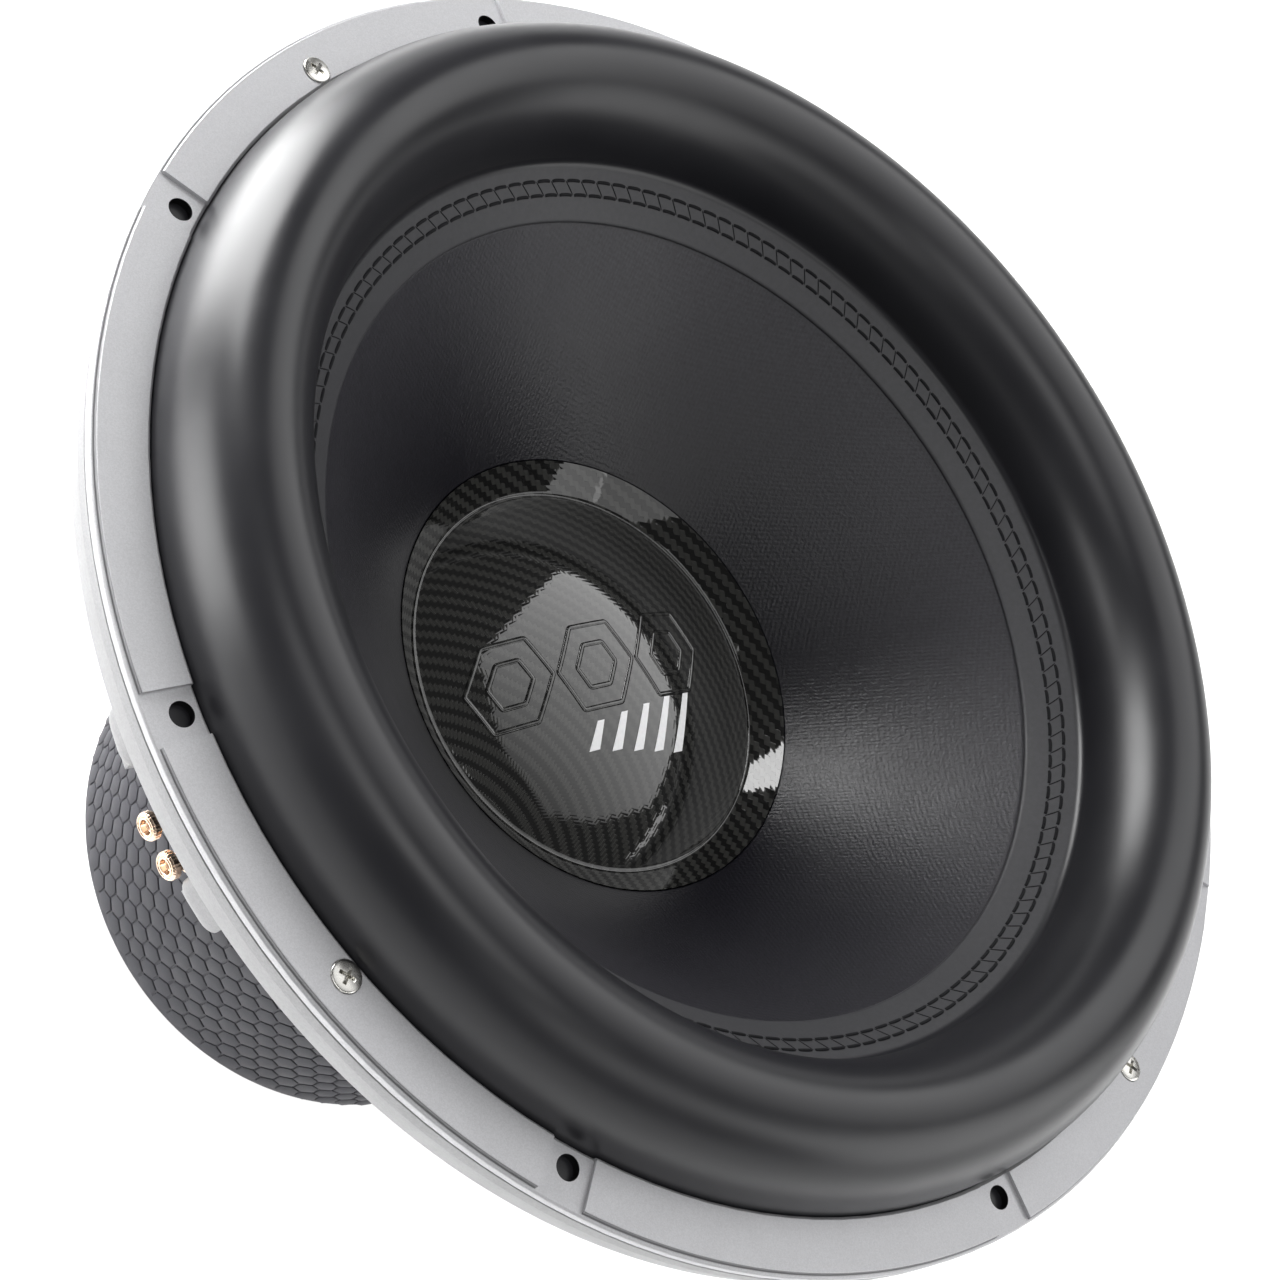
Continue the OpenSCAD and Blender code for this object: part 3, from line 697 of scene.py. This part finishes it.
def frame_arms(material):
    """The cast foot with the spider's shelf, the twin-spoke arms and the brackets, in one piece."""
    foot = mm((84, 147, 0.5), (106, 147, 1.5), (112, 150, 2), (123, 166, 2), (123, 172, 1),
              (109, 172, 1), (109, 168, 1), (114, 164, 2), (106, 155, 3), (84, 155, 1))
    arms = lathe("frame_arms", rounded(foot), 240, sharp=30)
    middles = [ARM_ANGLE + 2 * pi * i / ARM_COUNT for i in range(ARM_COUNT)]
    spokes = [spoke_points(middle + side * SPOKE_HALF_PITCH) for middle in middles for side in (-1, 1)]
    boolean(arms, [joined(spokes), *terminal_brackets()], "UNION")
    first = ARM_ANGLE + pi / ARM_COUNT
    bolt_holes = ring_of_rods(ARM_COUNT, MOTOR_BOLT_CIRCLE_R, first, MOTOR_BOLT_HOLE_R, 146 * MM, 156 * MM)
    spring_holes = [rod_points(SPRING_HOLE_R, -16 * MM, -7 * MM, post_matrix(name)) for name in POSTS]
    boolean(arms, [bolt_holes, joined(spring_holes)])
    arms.data.set_sharp_from_angle(angle=radians(30))
    finish_piece(arms, material, "frame")


def bend_radially(piece, inner_r, outer_r):
    """The piece follows the cone inside inner_r and the frame outside outer_r."""
    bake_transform(piece, "frame", "cone", start=(outer_r, 0, 0), end=(inner_r, 0, 0))
    weights = piece.data.attributes["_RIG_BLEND"].data
    for vertex, weight in zip(piece.data.vertices, weights):
        r = hypot(vertex.co.x, vertex.co.y)
        t = min(1.0, max(0.0, (outer_r - r) / (outer_r - inner_r)))
        weight.value = t * t * (3 - 2 * t)


def surround(material):
    """The half-roll of the surround with the band that is glued and sewn to the cone."""
    centre = ((ROLL_INNER_R + ROLL_OUTER_R) / 2, ROLL_FOOT_Z)
    half = (ROLL_OUTER_R - ROLL_INNER_R) / 2
    rise = ROLL_TOP_Z - ROLL_FOOT_Z
    edge_r = FRAME_R - 4.6 * MM
    outline = beside(GROOVE_R, GROOVE_Z, (0.4, 0.1), (0, 0.6), (0.1, 1.5)) + [BAND_FOOT, BAND_TOP]
    outline += beside(ROLL_INNER_R, CONE_RIM_Z, (-0.7, 2.0))
    outline += arc(centre, (half, rise), 178, 0, 96)
    outline += [(ROLL_OUTER_R, SEAT_Z + FOAM_T), (edge_r, SEAT_Z + FOAM_T), (edge_r, SEAT_Z)]
    outline += [(ROLL_OUTER_R - FOAM_T, SEAT_Z)]
    outline += arc(centre, (half - FOAM_T, rise - FOAM_T), 0, 176, 60)
    outline += beside(CONE_RIM_R, CONE_RIM_Z, (0.5, 0.8), (0, 0.1))
    piece = lathe("surround_roll", outline, 360, sharp=50)
    finish_piece(piece, material, None, ["surround"])
    bend_radially(piece, ROLL_INNER_R, ROLL_OUTER_R - FOAM_T)


def rim_gasket(material):
    """The surround's clamped edge, which shows as a dark line between frame and trim ring."""
    bead = arc((FRAME_R - 0.8 * MM, TRIM_BOTTOM_Z - 0.15 * MM), (0.6 * MM, 0.6 * MM), 0, 330, 11)
    finish_piece(lathe("rim_gasket", bead, 360), material, "frame")


def band_z(r):
    """Height of the sewn band's face at a radius."""
    (foot_r, foot_z), (top_r, top_z) = BAND_FOOT, BAND_TOP
    return foot_z + (top_z - foot_z) * (r - foot_r) / (top_r - foot_r)


def stitches(material):
    """Two rows of long stitches, and thin slanted ties between them, sewn into the cone."""
    inner, outer = STITCH_ROWS
    step = 2 * pi / STITCH_COUNT
    parts = []
    for i in range(STITCH_COUNT):
        for row, r in enumerate(STITCH_ROWS):
            path = []
            for t in np.linspace(0, 1, 11):
                rise = 0.42 * MM * sin(pi * t) ** 0.5 - 0.3 * MM
                path.append(polar(r, step * (i + 0.12 + 0.76 * t + 0.5 * row), band_z(r) + rise))
            parts.append(tube_points(path, 0.62 * MM, 8))
        path = []
        for t in np.linspace(0, 1, 7):
            r = inner + (outer - inner) * t
            rise = 0.22 * MM * sin(pi * t) ** 0.5 - 0.22 * MM
            path.append(polar(r, step * (i + 1.0 + 0.5 * t), band_z(r) + rise))
        parts.append(tube_points(path, 0.24 * MM, 6))
    piece = mesh_object("surround_stitches", *joined(parts))
    finish_piece(piece, material, "cone")


def cone(material):
    """The cone: rim under the band, straight flank, seat for the cap and neck round the coil's former."""
    outline = mm((168.2, 287.2, 0.3), (149.7, 276.2, 3), (85.4, 213.3, 0.6), (85.4, 212.3, 0.2),
                 (76.8, 203.0, 1.5), (74.2, 201.4, 1.5), (51.4, 196.0, 0), (51.4, 190.6, 0),
                 (52.8, 190.6, 1), (53.6, 192.9, 3), (76.2, 199.0, 2), (78.8, 202.1, 2),
                 (87.1, 211.6, 2), (151.4, 274.2, 3), (168.2, 284.8, 0.3))
    finish_piece(lathe("cone_shell", rounded(outline, 6)), material, "cone", ["cone_body"])


def dome_z(r, lift=0.0):
    """Height of the cap's dome at a radius."""
    return CAP_TOP_Z - CAP_SPHERE_R + sqrt((CAP_SPHERE_R + lift) ** 2 - r * r)


def dust_cap(material, lip_material):
    """The cap: dome, groove with its bead, and the lip that slopes up to the cone."""
    radii = np.linspace(CAP_GROOVE_R - 0.6 * MM, 0, 60)
    dome = beside(CAP_GROOVE_R, CAP_GROOVE_Z, (0.1, 0.4))
    dome += [(r, dome_z(r)) for r in radii]
    dome += [(r, dome_z(r) - 1.2 * MM) for r in radii[::-1]]
    dome += beside(CAP_GROOVE_R, CAP_GROOVE_Z, (0.1, -0.9))
    finish_piece(lathe("cap_shell", dome, sharp=60), material, "cone", ["dust_cap"])
    bead = arc((CAP_GROOVE_R - 0.1 * MM, CAP_GROOVE_Z + 0.4 * MM), (0.45 * MM, 0.45 * MM), 0, 330, 11)
    finish_piece(lathe("cap_bead", bead), material, "cone")
    lip = beside(CAP_R, LIP_Z, (0, -0.5), (0, 0.35), (-0.08, 0.45))
    lip += beside(CAP_GROOVE_R, CAP_GROOVE_Z, (1.1, 1.1), (0.6, 0.7), (0, 0.4), (0, -0.8), (1.2, -0.2))
    finish_piece(lathe("cap_lip", lip, sharp=60), lip_material, "cone")


def on_dome(flat, lift):
    """The point of the dome over a flat place, raised by lift."""
    return Vector((flat.x, flat.y, dome_z(hypot(flat.x, flat.y), lift)))


def cap_frame():
    """Two directions on the cap's face: across and up, as the marks on it are read."""
    across = Vector((-0.74, -0.67, 0)).normalized()
    return across, Vector((-across.y, across.x, 0))


def dense(points, step):
    """A closed outline with points no further apart than step."""
    result = []
    for (x0, y0), (x1, y1) in zip(points, points[1:] + points[:1]):
        count = max(1, int(hypot(x1 - x0, y1 - y0) / step))
        result += [(x0 + (x1 - x0) * k / count, y0 + (y1 - y0) * k / count) for k in range(count)]
    return result


HEXAGON = mm((-17, 0), (-8.5, -15.5), (8.5, -15.5), (17, 0), (8.5, 15.5), (-8.5, 15.5))


def cap_relief(material):
    """Three pairs of plain hexagonal frames, one within the other, that stand out of the dome."""
    across, up = cap_frame()
    middle = Vector((6.6 * MM, 5.8 * MM, 0))
    slant = 0.19
    parts = []
    for centre_u in (-36 * MM, 0, 36 * MM):
        for size in (1.0, 0.52):
            corners = [(x * size, y * size, 1.5 * MM) for x, y in HEXAGON]
            path = []
            for u, v in dense(rounded(corners), 1.2 * MM):
                flat = middle + across * (centre_u + u + slant * v) + up * v
                path.append(on_dome(flat, -0.75 * MM))
            parts.append(tube_points(path, 1.25 * MM, 16, closed=True))
    piece = mesh_object("cap_relief", *joined(parts))
    finish_piece(piece, material, "cone")


def slanted_bar(centre, width, height, slant, lift):
    """A thin closed patch that lies on the dome, tapered towards its top."""
    across, up = cap_frame()
    rows, columns = 12, 4
    rings = []
    for i in range(rows + 1):
        v = (i / rows - 0.5) * height
        flats = []
        for j in range(columns + 1):
            u = (j / columns - 0.5) * width * (1 - 0.35 * i / rows) + slant * v
            flats.append(across * (centre[0] + u) + up * (centre[1] + v))
        under = [on_dome(flat, 0.02 * MM) for flat in flats]
        rings.append(under + [on_dome(flat, lift) for flat in flats[::-1]])
    return swept(rings)


def cap_print(material):
    """Slanted white bars of growing height printed on the dome."""
    bars = []
    for i in range(5):
        height = (10 + 3 * i) * MM
        middle = ((-18 + 10.5 * i) * MM, -24.5 * MM - height * 0.08)
        bars.append(slanted_bar(middle, 4.6 * MM, height, 0.6, 0.12 * MM))
    piece = mesh_object("cap_print", *joined(bars))
    finish_piece(piece, material, "cone")


def boot_shell(material):
    """The rubber boot over the motor: a cup with a thin wall."""
    wall_r = BOOT_R - 0.8 * MM
    inner_r = BOOT_R - 3 * MM
    outline = [(VENT_R, 0, 0.5 * MM), (wall_r, 0, 5 * MM), (wall_r, BOOT_H, 1.5 * MM),
               (BOOT_OPENING_R, BOOT_H, 0.6 * MM), (BOOT_OPENING_R, BOOT_H - 2.5 * MM, 0.2 * MM),
               (inner_r, BOOT_H - 3.5 * MM, 0), (inner_r, 6 * MM, 0), (inner_r - 3 * MM, 3 * MM, 0),
               (VENT_R, 3 * MM, 0.5 * MM)]
    finish_piece(lathe("boot_shell", rounded(outline, 5)), material, "frame", ["motor_boot"])


def boot_cells(material):
    """Rows of raised hexagons round the boot's wall."""
    columns = 76
    pitch = 2 * pi / columns
    cell = BOOT_R * pitch / sqrt(3)
    row_step = 1.5 * cell
    rows = int((BOOT_H - 10 * MM) / row_step)
    first_z = (BOOT_H - (rows - 1) * row_step) / 2
    levels = ((BOOT_R - 1.1 * MM, 0.93), (BOOT_R - 0.3 * MM, 0.88), (BOOT_R, 0.72))
    faces = grid_faces(3, 6, closed_columns=True) + [(12 + k, 12 + (k + 1) % 6, 18) for k in range(6)]
    faces.append(tuple(range(5, -1, -1)))
    parts = []
    for row in range(rows):
        for column in range(columns):
            middle = (column + 0.5 * (row % 2)) * pitch
            z = first_z + row * row_step
            verts = []
            for r, share in levels:
                for k in range(6):
                    turn = radians(30 + 60 * k)
                    angle = middle + cell * share * cos(turn) / BOOT_R
                    verts.append(polar(r, angle, z + cell * share * sin(turn)))
            verts.append(polar(BOOT_R, middle, z))
            parts.append((verts, faces))
    cells = mesh_object("boot_cells", *joined(parts), sharp=50)
    finish_piece(cells, material, "frame")


def spider(node, material):
    """A corrugated spider: flat where it is clamped, waves, and a cuff glued to the former."""
    base = round(high_z(node) - 3.4 * MM, 5)
    flat_r = 109 * MM
    wave = 9.2 * MM
    height = 2 * MM
    thick = 1.0 * MM
    radii = np.arange(flat_r, FORMER_R + 2.6 * MM, -0.5 * MM)

    def face(r):
        return base + height * sin(2 * pi * (r - flat_r) / wave)

    top = [(SPIDER_R, base + thick)] + [(r, face(r) + thick) for r in radii]
    cuff = beside(FORMER_R, base, (1.2, 2.0), (0.9, 2.7), (0.05, 2.7), (0.05, -0.8), (1.2, -0.2))
    under = [(r, face(r)) for r in radii[::-1]] + [(SPIDER_R, base)]
    piece = lathe(f"{node}_cloth", top + cuff + under, 240, sharp=60)
    finish_piece(piece, material, None, [node])
    bend_radially(piece, FORMER_R + 3 * MM, flat_r)


def windings(material):
    """The coil's two layers, turn by turn."""
    wire = 1 * MM
    for name, node in (("coil_layer_inner", "winding_inner"), ("coil_layer_outer", "winding_outer")):
        outer = outer_r(node)
        bottom, top = low_z(node), high_z(node)
        outline = [(outer - wire, top), (outer - wire, bottom)]
        for i in range(round((top - bottom) / wire)):
            outline += arc((outer - wire / 2, bottom + (i + 0.5) * wire), (0.5 * MM, 0.49 * MM), -85, 85, 4)
        finish_piece(lathe(name, outline, 144, sharp=80), material, "cone", [node])


def cross_cutter(centre, turn, span, width, depth):
    """A tapered cross, as the recess of a screw head."""
    parts = []
    for angle in (turn, turn + pi / 2):
        matrix = Matrix.Translation(centre) @ Matrix.Rotation(angle, 4, "Z")
        rings = []
        for z, share in ((-depth, 0.35), (depth, 1.65)):
            x, y = span / 2 * share, width / 2 * (0.6 + 0.4 * share)
            corners = ((-x, -y, z), (x, -y, z), (x, y, z), (-x, y, z))
            rings.append([matrix @ Vector(corner) for corner in corners])
        parts.append(swept(rings))
    return parts


def screw(head_r, head_h, shank_r, shank_l, recess, turn):
    """A cross-recess screw with its head's seat at z = 0: a flat-topped oval head, a taper, a shank."""
    dome = [(head_r * sin(t), head_h * cos(t) ** 0.55) for t in np.linspace(pi / 2, 0, 14)]
    outline = [(0, -shank_l), (shank_r * 0.8, -shank_l), (shank_r, -shank_l + shank_r * 0.4)]
    outline += [(shank_r, -2.8 * MM if head_r > 4 * MM else 0), (head_r, -0.2 * MM)] + dome
    piece = lathe("screw", outline, 48, sharp=40)
    return boolean(piece, cross_cutter((0, 0, head_h), turn, recess * 2, recess * 0.44, recess * 0.75))


def spread(name, source, matrices):
    """One piece made of copies of a source piece, which is removed."""
    faces = [tuple(face.vertices) for face in source.data.polygons]
    copies = [([matrix @ vertex.co for vertex in source.data.vertices], faces) for matrix in matrices]
    piece = mesh_object(name, *joined(copies), sharp=32)
    bpy.data.objects.remove(source)
    return piece


def trim_screws(material):
    """The screws that hold the trim ring."""
    places = []
    for i in range(SCREW_COUNT):
        angle = SCREW_FIRST_ANGLE + 2 * pi * i / SCREW_COUNT
        centre = polar(SCREW_CIRCLE_R, angle, FRONT_Z)
        places.append(Matrix.Translation(centre) @ Matrix.Rotation(angle, 4, "Z"))
    source = screw(5.0 * MM, 0.9 * MM, 2.45 * MM, 17 * MM, 2.9 * MM, radians(20))
    piece = spread("trim_screw_set", source, places)
    finish_piece(piece, material, "frame", ["trim_screws"])


def outward_matrix(block, side, rise=0.0):
    """A frame on a terminal block's front: local Z points outward, and local X along the axis."""
    out = OUTWARD[block]
    across = Vector((-out.y, out.x, 0))
    matrix = Matrix((Vector((0, 0, 1)), -across, out)).transposed().to_4x4()
    matrix.translation = out * BLOCK_FRONT_R + across * side + Vector((0, 0, TERMINAL_Z + rise))
    return matrix


def post_side(name):
    """How far a post stands from the middle of its block."""
    return (int(name[1]) - 1.5) * POST_PITCH


def post_matrix(name):
    return outward_matrix(name[0], post_side(name))


def terminal_screws(material):
    """Two small screws in each terminal block."""
    places = [outward_matrix(block, 0, rise) for block in ("a", "b") for rise in (-7.2 * MM, 7.2 * MM)]
    source = screw(2.4 * MM, 1.3 * MM, 1.2 * MM, 13 * MM, 1.3 * MM, radians(12))
    piece = spread("terminal_screw_set", source, places)
    finish_piece(piece, material, "frame", ["terminal_screws"])


def set_in_block(piece, name, hole_z):
    """Cuts the wire's cross hole through a post or a button, and puts it in its place."""
    turn = Matrix.Translation((0, 0, hole_z)) @ Matrix.Rotation(pi / 2, 4, "Y")
    boolean(piece, [rod_points(WIRE_HOLE_R, -10 * MM, 10 * MM, turn)])
    piece.data.transform(post_matrix(name))
    piece.data.set_sharp_from_angle(angle=radians(32))


def post(material, name):
    """A ribbed barrel with the cross hole for the wire."""
    ribs = mm((4.75, 0, 0.15), (4.75, 1.5, 0.3), (4.2, 1.7, 0.1), (4.2, 2.1, 0.1), (4.55, 2.3, 0.2),
              (4.55, 5.2, 0.2), (4.2, 5.4, 0.1), (4.2, 5.8, 0.1), (4.75, 6.0, 0.25), (4.75, 7.5, 0.4),
              (3.25, 7.5, 0.25), (3.25, 0, 0))
    piece = lathe(f"barrel_{name}", rounded(ribs, 3), 64)
    set_in_block(piece, name, 3.85 * MM)
    finish_piece(piece, material, "frame", [f"post_{name}"])


def button(material, name):
    """A sprung rod with a knurled, dished cap."""
    outline = rounded(mm(
        (0, -1.3, 0), (3.1, -1.3, 0.3), (3.1, 11.8, 0.1), (4.7, 11.9, 0.3), (4.7, 14.1, 0.3),
        (4.2, 14.85, 0.3), (3.8, 14.85, 0.1), (3.6, 14.4, 0.1), (3.3, 14.4, 0.1), (3.1, 14.85, 0.1),
        (2.5, 14.85, 0.2), (2.1, 12.9, 0.3), (0, 12.7, 0)), 3)
    verts, faces = turned(outline, 96)
    knurled = []
    for i, (x, y, z) in enumerate(verts):
        r = hypot(x, y)
        notch = 0.12 * MM if r > 4.2 * MM and (i // len(outline)) % 4 >= 2 else 0.0
        share = (r - notch) / r if r > 0 else 1.0
        knurled.append((x * share, y * share, z))
    piece = mesh_object(f"plunger_{name}", knurled, faces, sharp=32)
    set_in_block(piece, name, 7.85 * MM)
    finish_piece(piece, material, f"button_{name}", [f"button_{name}"])


def spring(material, name):
    """The return spring behind a button, which shortens as the button is pressed."""
    turns, per_turn = 5, 20
    start, end = -8.1 * MM, -1.6 * MM
    matrix = post_matrix(name)
    path = []
    for i in range(turns * per_turn + 1):
        rise = start + (end - start) * i / (turns * per_turn)
        path.append(matrix @ polar(1.8 * MM, 2 * pi * i / per_turn, rise))
    piece = mesh_object(f"coil_spring_{name}", *tube_points(path, 0.28 * MM, 8))
    finish_piece(piece, material, None, [f"spring_{name}"])
    start, end = (matrix @ Vector((0, 0, rise)) for rise in (start, end))
    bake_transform(piece, "frame", f"button_{name}", start=start, end=end)


# The lead's route as (radius, height): from the spider's edge, along the cloth, up behind a post.
LEAD_ROUTE = mm((121.6, 181.8), (123, 182.4), (126, 182.9), (129.6, 182.6), (133.6, 182.2), (138, 182.6),
                (142.6, 184.2), (147, 187), (151.4, 191), (155.6, 195.8), (159.4, 201.2), (162.8, 207),
                (165.8, 213), (168.6, 218.6), (171.8, 223.6), (175.6, 227.2), (180.4, 228.8), (187.2, 229))
LEAD_D = 2.4 * MM


def smooth_path(points, per_step):
    """A Catmull-Rom curve through the points."""
    points = [Vector(p) for p in points]
    ends = [points[0] * 2 - points[1]] + points + [points[-1] * 2 - points[-2]]
    path = []
    for a, b, c, d in zip(ends, ends[1:], ends[2:], ends[3:]):
        for k in range(per_step):
            t = k / per_step
            path.append(0.5 * (2 * b + (c - a) * t + (2 * a - 5 * b + 4 * c - d) * t ** 2
                               + (3 * b - a - 3 * c + d) * t ** 3))
    path.append(points[-1])
    return path


def tinsel_lead(material, name):
    """A braided lead that hangs between the spider's edge and the back of a post."""
    out = OUTWARD[name[0]]
    side = Vector((-out.y, out.x, 0)) * post_side(name)
    path = smooth_path([out * r + side + Vector((0, 0, z)) for r, z in LEAD_ROUTE], 20)
    per_turn = 46

    def braid(step, angle):
        turn = 2 * pi * step / per_turn
        strands = max(abs(sin(3 * angle + 3 * turn)), abs(sin(3 * angle - 3 * turn)))
        return LEAD_D / 2 * (0.88 + 0.12 * strands)

    piece = mesh_object(f"lead_{name}", *tube_points(path, braid, 24), sharp=70)
    finish_piece(piece, material, "frame", [f"tinsel_lead_{name}"])


# ---- stage ----

def camera():
    """The camera, from above and to one side of the cone."""
    data = bpy.data.cameras.new("camera")
    data.lens = 66.88
    data.sensor_width = 36
    view = add_object("camera", data)
    right = Vector((-0.78146, -0.23433, 0.57828)).normalized()
    back = Vector((0.35442, 0.59605, 0.72049)).normalized()
    right = (right - back * right.dot(back)).normalized()
    up = back.cross(right)
    matrix = Matrix((right, up, back)).transposed().to_4x4()
    matrix.translation = Vector((0.3046, 0.5097, 0.8552))
    view.matrix_world = matrix
    bpy.context.scene.camera = view


def stage_object(piece, material):
    """Gives a piece of the studio its material."""
    piece.data.materials.append(material)


def glow(name, strength):
    """A plain light-giving material. strength is a number, or two of (point, strength) for a gradient."""
    light = Shader(name, (0, 0, 0), 1.0)
    if isinstance(strength, tuple):
        (start, dim), (end, bright) = strength
        way = end - start
        reach = light.add("VectorMath", {0: light.place, 1: way}, operation="DOT_PRODUCT")
        strength = light.span(reach.outputs["Value"], dim, bright, start.dot(way), end.dot(way))
    emission = light.add("Emission", {"Strength": strength})
    light.tree.links.new(emission.outputs[0], light.tree.nodes["Material Output"].inputs["Surface"])
    light.tree.nodes.remove(light.bsdf)
    return light.material


def floor():
    """A plain floor, with a sun of its own that lights nothing else, so that it shows pale and even."""
    size = 6.0
    corners = ((-size, -size), (size, -size), (size, size), (-size, size))
    plane = mesh_object("floor", [(x, y, -0.5 * MM) for x, y in corners], [(0, 1, 2, 3)])
    stage_object(plane, pale_floor())
    lit = bpy.data.collections.new("lit_by_floor_sun")
    lit.objects.link(plane)
    sun = add_object("floor_sun", bpy.data.lights.new("floor_sun", "SUN"))
    sun.data.energy = 2.75
    sun.data.angle = radians(40)
    sun.light_linking.receiver_collection = lit
    sun.light_linking.blocker_collection = lit


def backdrop():
    """A white wall far behind everything. The camera sees all of it, and reflections see its foot."""
    far = 5.9
    for name, low, high in (("backdrop_foot", -0.001, 1.2), ("backdrop", 1.2, 6.0)):
        wall = lathe(name, [(far, low), (far, high), (far + 0.01, high), (far + 0.01, low)], 64)
        stage_object(wall, glow(name, 1.0))
        wall.visible_diffuse = False
        wall.visible_glossy = name == "backdrop_foot"
        wall.visible_transmission = False
        wall.visible_shadow = False


def direction(azimuth, elevation):
    """A unit vector that way, from angles in degrees."""
    elevation = radians(elevation)
    return polar(cos(elevation), radians(azimuth), sin(elevation))


def softbox(name, way, distance, size, radiance):
    """An area light of that radiance, facing the cone from a direction (azimuth, elevation)."""
    data = bpy.data.lights.new(name, "AREA")
    data.shape = "RECTANGLE"
    data.size, data.size_y = size
    data.energy = radiance * size[0] * size[1] * pi
    light = add_object(name, data)
    light.location = Vector((0, 0, 0.28)) + direction(*way) * distance
    light.rotation_euler = direction(*way).to_track_quat("Z", "Y").to_euler()
    light.visible_camera = False
    return light


# The overhead box's corners, as directions from the dust cap: (azimuth, elevation).
OVERHEAD_CORNERS = [direction(*way) for way in (
    (-93, 35), (-113, 26), (-133, 30), (-147, 35), (-169, 42), (168, 56), (145, 66), (80, 86), (-49, 69))]


def overhead_box():
    """A many-sided box above the cone, brighter at the end towards its first corners."""
    target = Vector((0, 0, 0.22))
    distance = 1.3
    middle = sum(OVERHEAD_CORNERS, Vector()).normalized()
    corners = [target + way * distance / way.dot(middle) for way in OVERHEAD_CORNERS]
    box = mesh_object("overhead_box", corners, [tuple(range(len(corners)))])
    stage_object(box, glow("overhead_box", ((corners[6], 0.4), (corners[1], 2.9))))
    box.visible_camera = False


def world():
    """Dim, even fill light."""
    surroundings = bpy.data.worlds.new("studio")
    bpy.context.scene.world = surroundings
    surroundings.use_nodes = True
    background = surroundings.node_tree.nodes["Background"]
    background.inputs["Color"].default_value = (1, 1, 1, 1)
    background.inputs["Strength"].default_value = 0.09


def lighting():
    world()
    overhead_box()
    softbox("side_tall", (-33, 7), 0.96, (0.52, 0.86), 13.0)
    softbox("side_low", (12, -2), 0.97, (0.46, 0.44), 7.0)
    softbox("right", (168, 24), 1.5, (1.2, 0.8), 2.2)
    softbox("corner", (120, 36), 1.5, (1.1, 0.42), 1.6)
    softbox("front", (61, 64), 1.5, (1.3, 0.42), 2.3)
    fill = softbox("fill", (0, 90), 2.2, (3.0, 3.0), 1.0)
    fill.visible_glossy = False
    bpy.context.scene.view_settings.view_transform = "Standard"


camera()

tinsel = brushed("tinsel", (0.45, 0.24, 0.12), (0.85, 0.55, 0.35), 0.35, (1, 1, 1))
for name in POSTS:
    tinsel_lead(tinsel, name)

floor()
backdrop()
lighting()

# Painted shade: the frame's silver is a darker copy of the trim ring's, to tone down the strong side light on
# its rim and arms.
silver = painted_metal("frame_paint", (0.30, 0.30, 0.305), 0.6 * MM, 0.7 * MM)
frame_rim(silver)
frame_arms(silver)
trim_silver = painted_metal("trim_paint", (0.50, 0.50, 0.515), 0.35 * MM, 0.8 * MM, panel_shade=True)
dress("trim_ring", trim_silver, 0.35 * MM)
zinc_plate = zinc()
trim_screws(zinc_plate)
terminal_screws(zinc_plate)

skin = foam_skin()
surround(skin)
rim_gasket(skin)
stitches(thread())
cone(cone_fibre())
carbon = carbon_lacquer("carbon_lacquer", 1.0)
dust_cap(carbon, carbon_lacquer("lip_lacquer", 0.5))
cap_relief(carbon)
cap_print(white_print())

rubber = boot_rubber()
boot_shell(rubber)
boot_cells(rubber)
cloth = spider_cloth()
for name in ("spider_lower", "spider_upper"):
    spider(name, cloth)
windings(brushed("enamelled_copper", (0.45, 0.17, 0.07), (0.8, 0.38, 0.18), 0.25, (1, 1, 6)))
dress("coil_former", brushed("former_foil", (0.35, 0.2, 0.06), (0.62, 0.42, 0.16), 0.35, (1, 1, 5), 0.5))

steel = brushed("plated_steel", (0.42, 0.42, 0.43), (0.62, 0.62, 0.64), 0.35, (1, 1, 6))
dress("top_plate", steel, 0.5 * MM)
dress("pole_yoke", steel, 0.5 * MM)
dress("shorting_sleeve", brushed("sleeve_copper", (0.6, 0.28, 0.14), (0.85, 0.48, 0.28), 0.3, (1, 1, 6)))
black_steel = brushed("black_oxide", (0.03, 0.03, 0.034), (0.09, 0.09, 0.095), 0.38, (1, 1, 2))
dress("vent_screen", black_steel, 0.15 * MM)
dress("motor_bolts", black_steel, 0.3 * MM)
magnet_ferrite = ferrite()
for index in range(1, 5):
    dress(f"magnet_{index}", magnet_ferrite, 0.8 * MM)

plastic = black_plastic()
dress("spider_spacer", plastic, 0.3 * MM)
for name in ("terminal_block_a", "terminal_block_b"):
    dress(name, plastic, 0.6 * MM)
gold = brushed("gold_plate", (0.80, 0.56, 0.40), (0.98, 0.80, 0.64), 0.2, (1, 1, 3))
spring_wire = brushed("spring_wire", (0.4, 0.4, 0.42), (0.65, 0.65, 0.67), 0.3, (1, 1, 1))
for name in POSTS:
    post(gold, name)
    button(gold, name)
    spring(spring_wire, name)

bpy.context.view_layer.update()
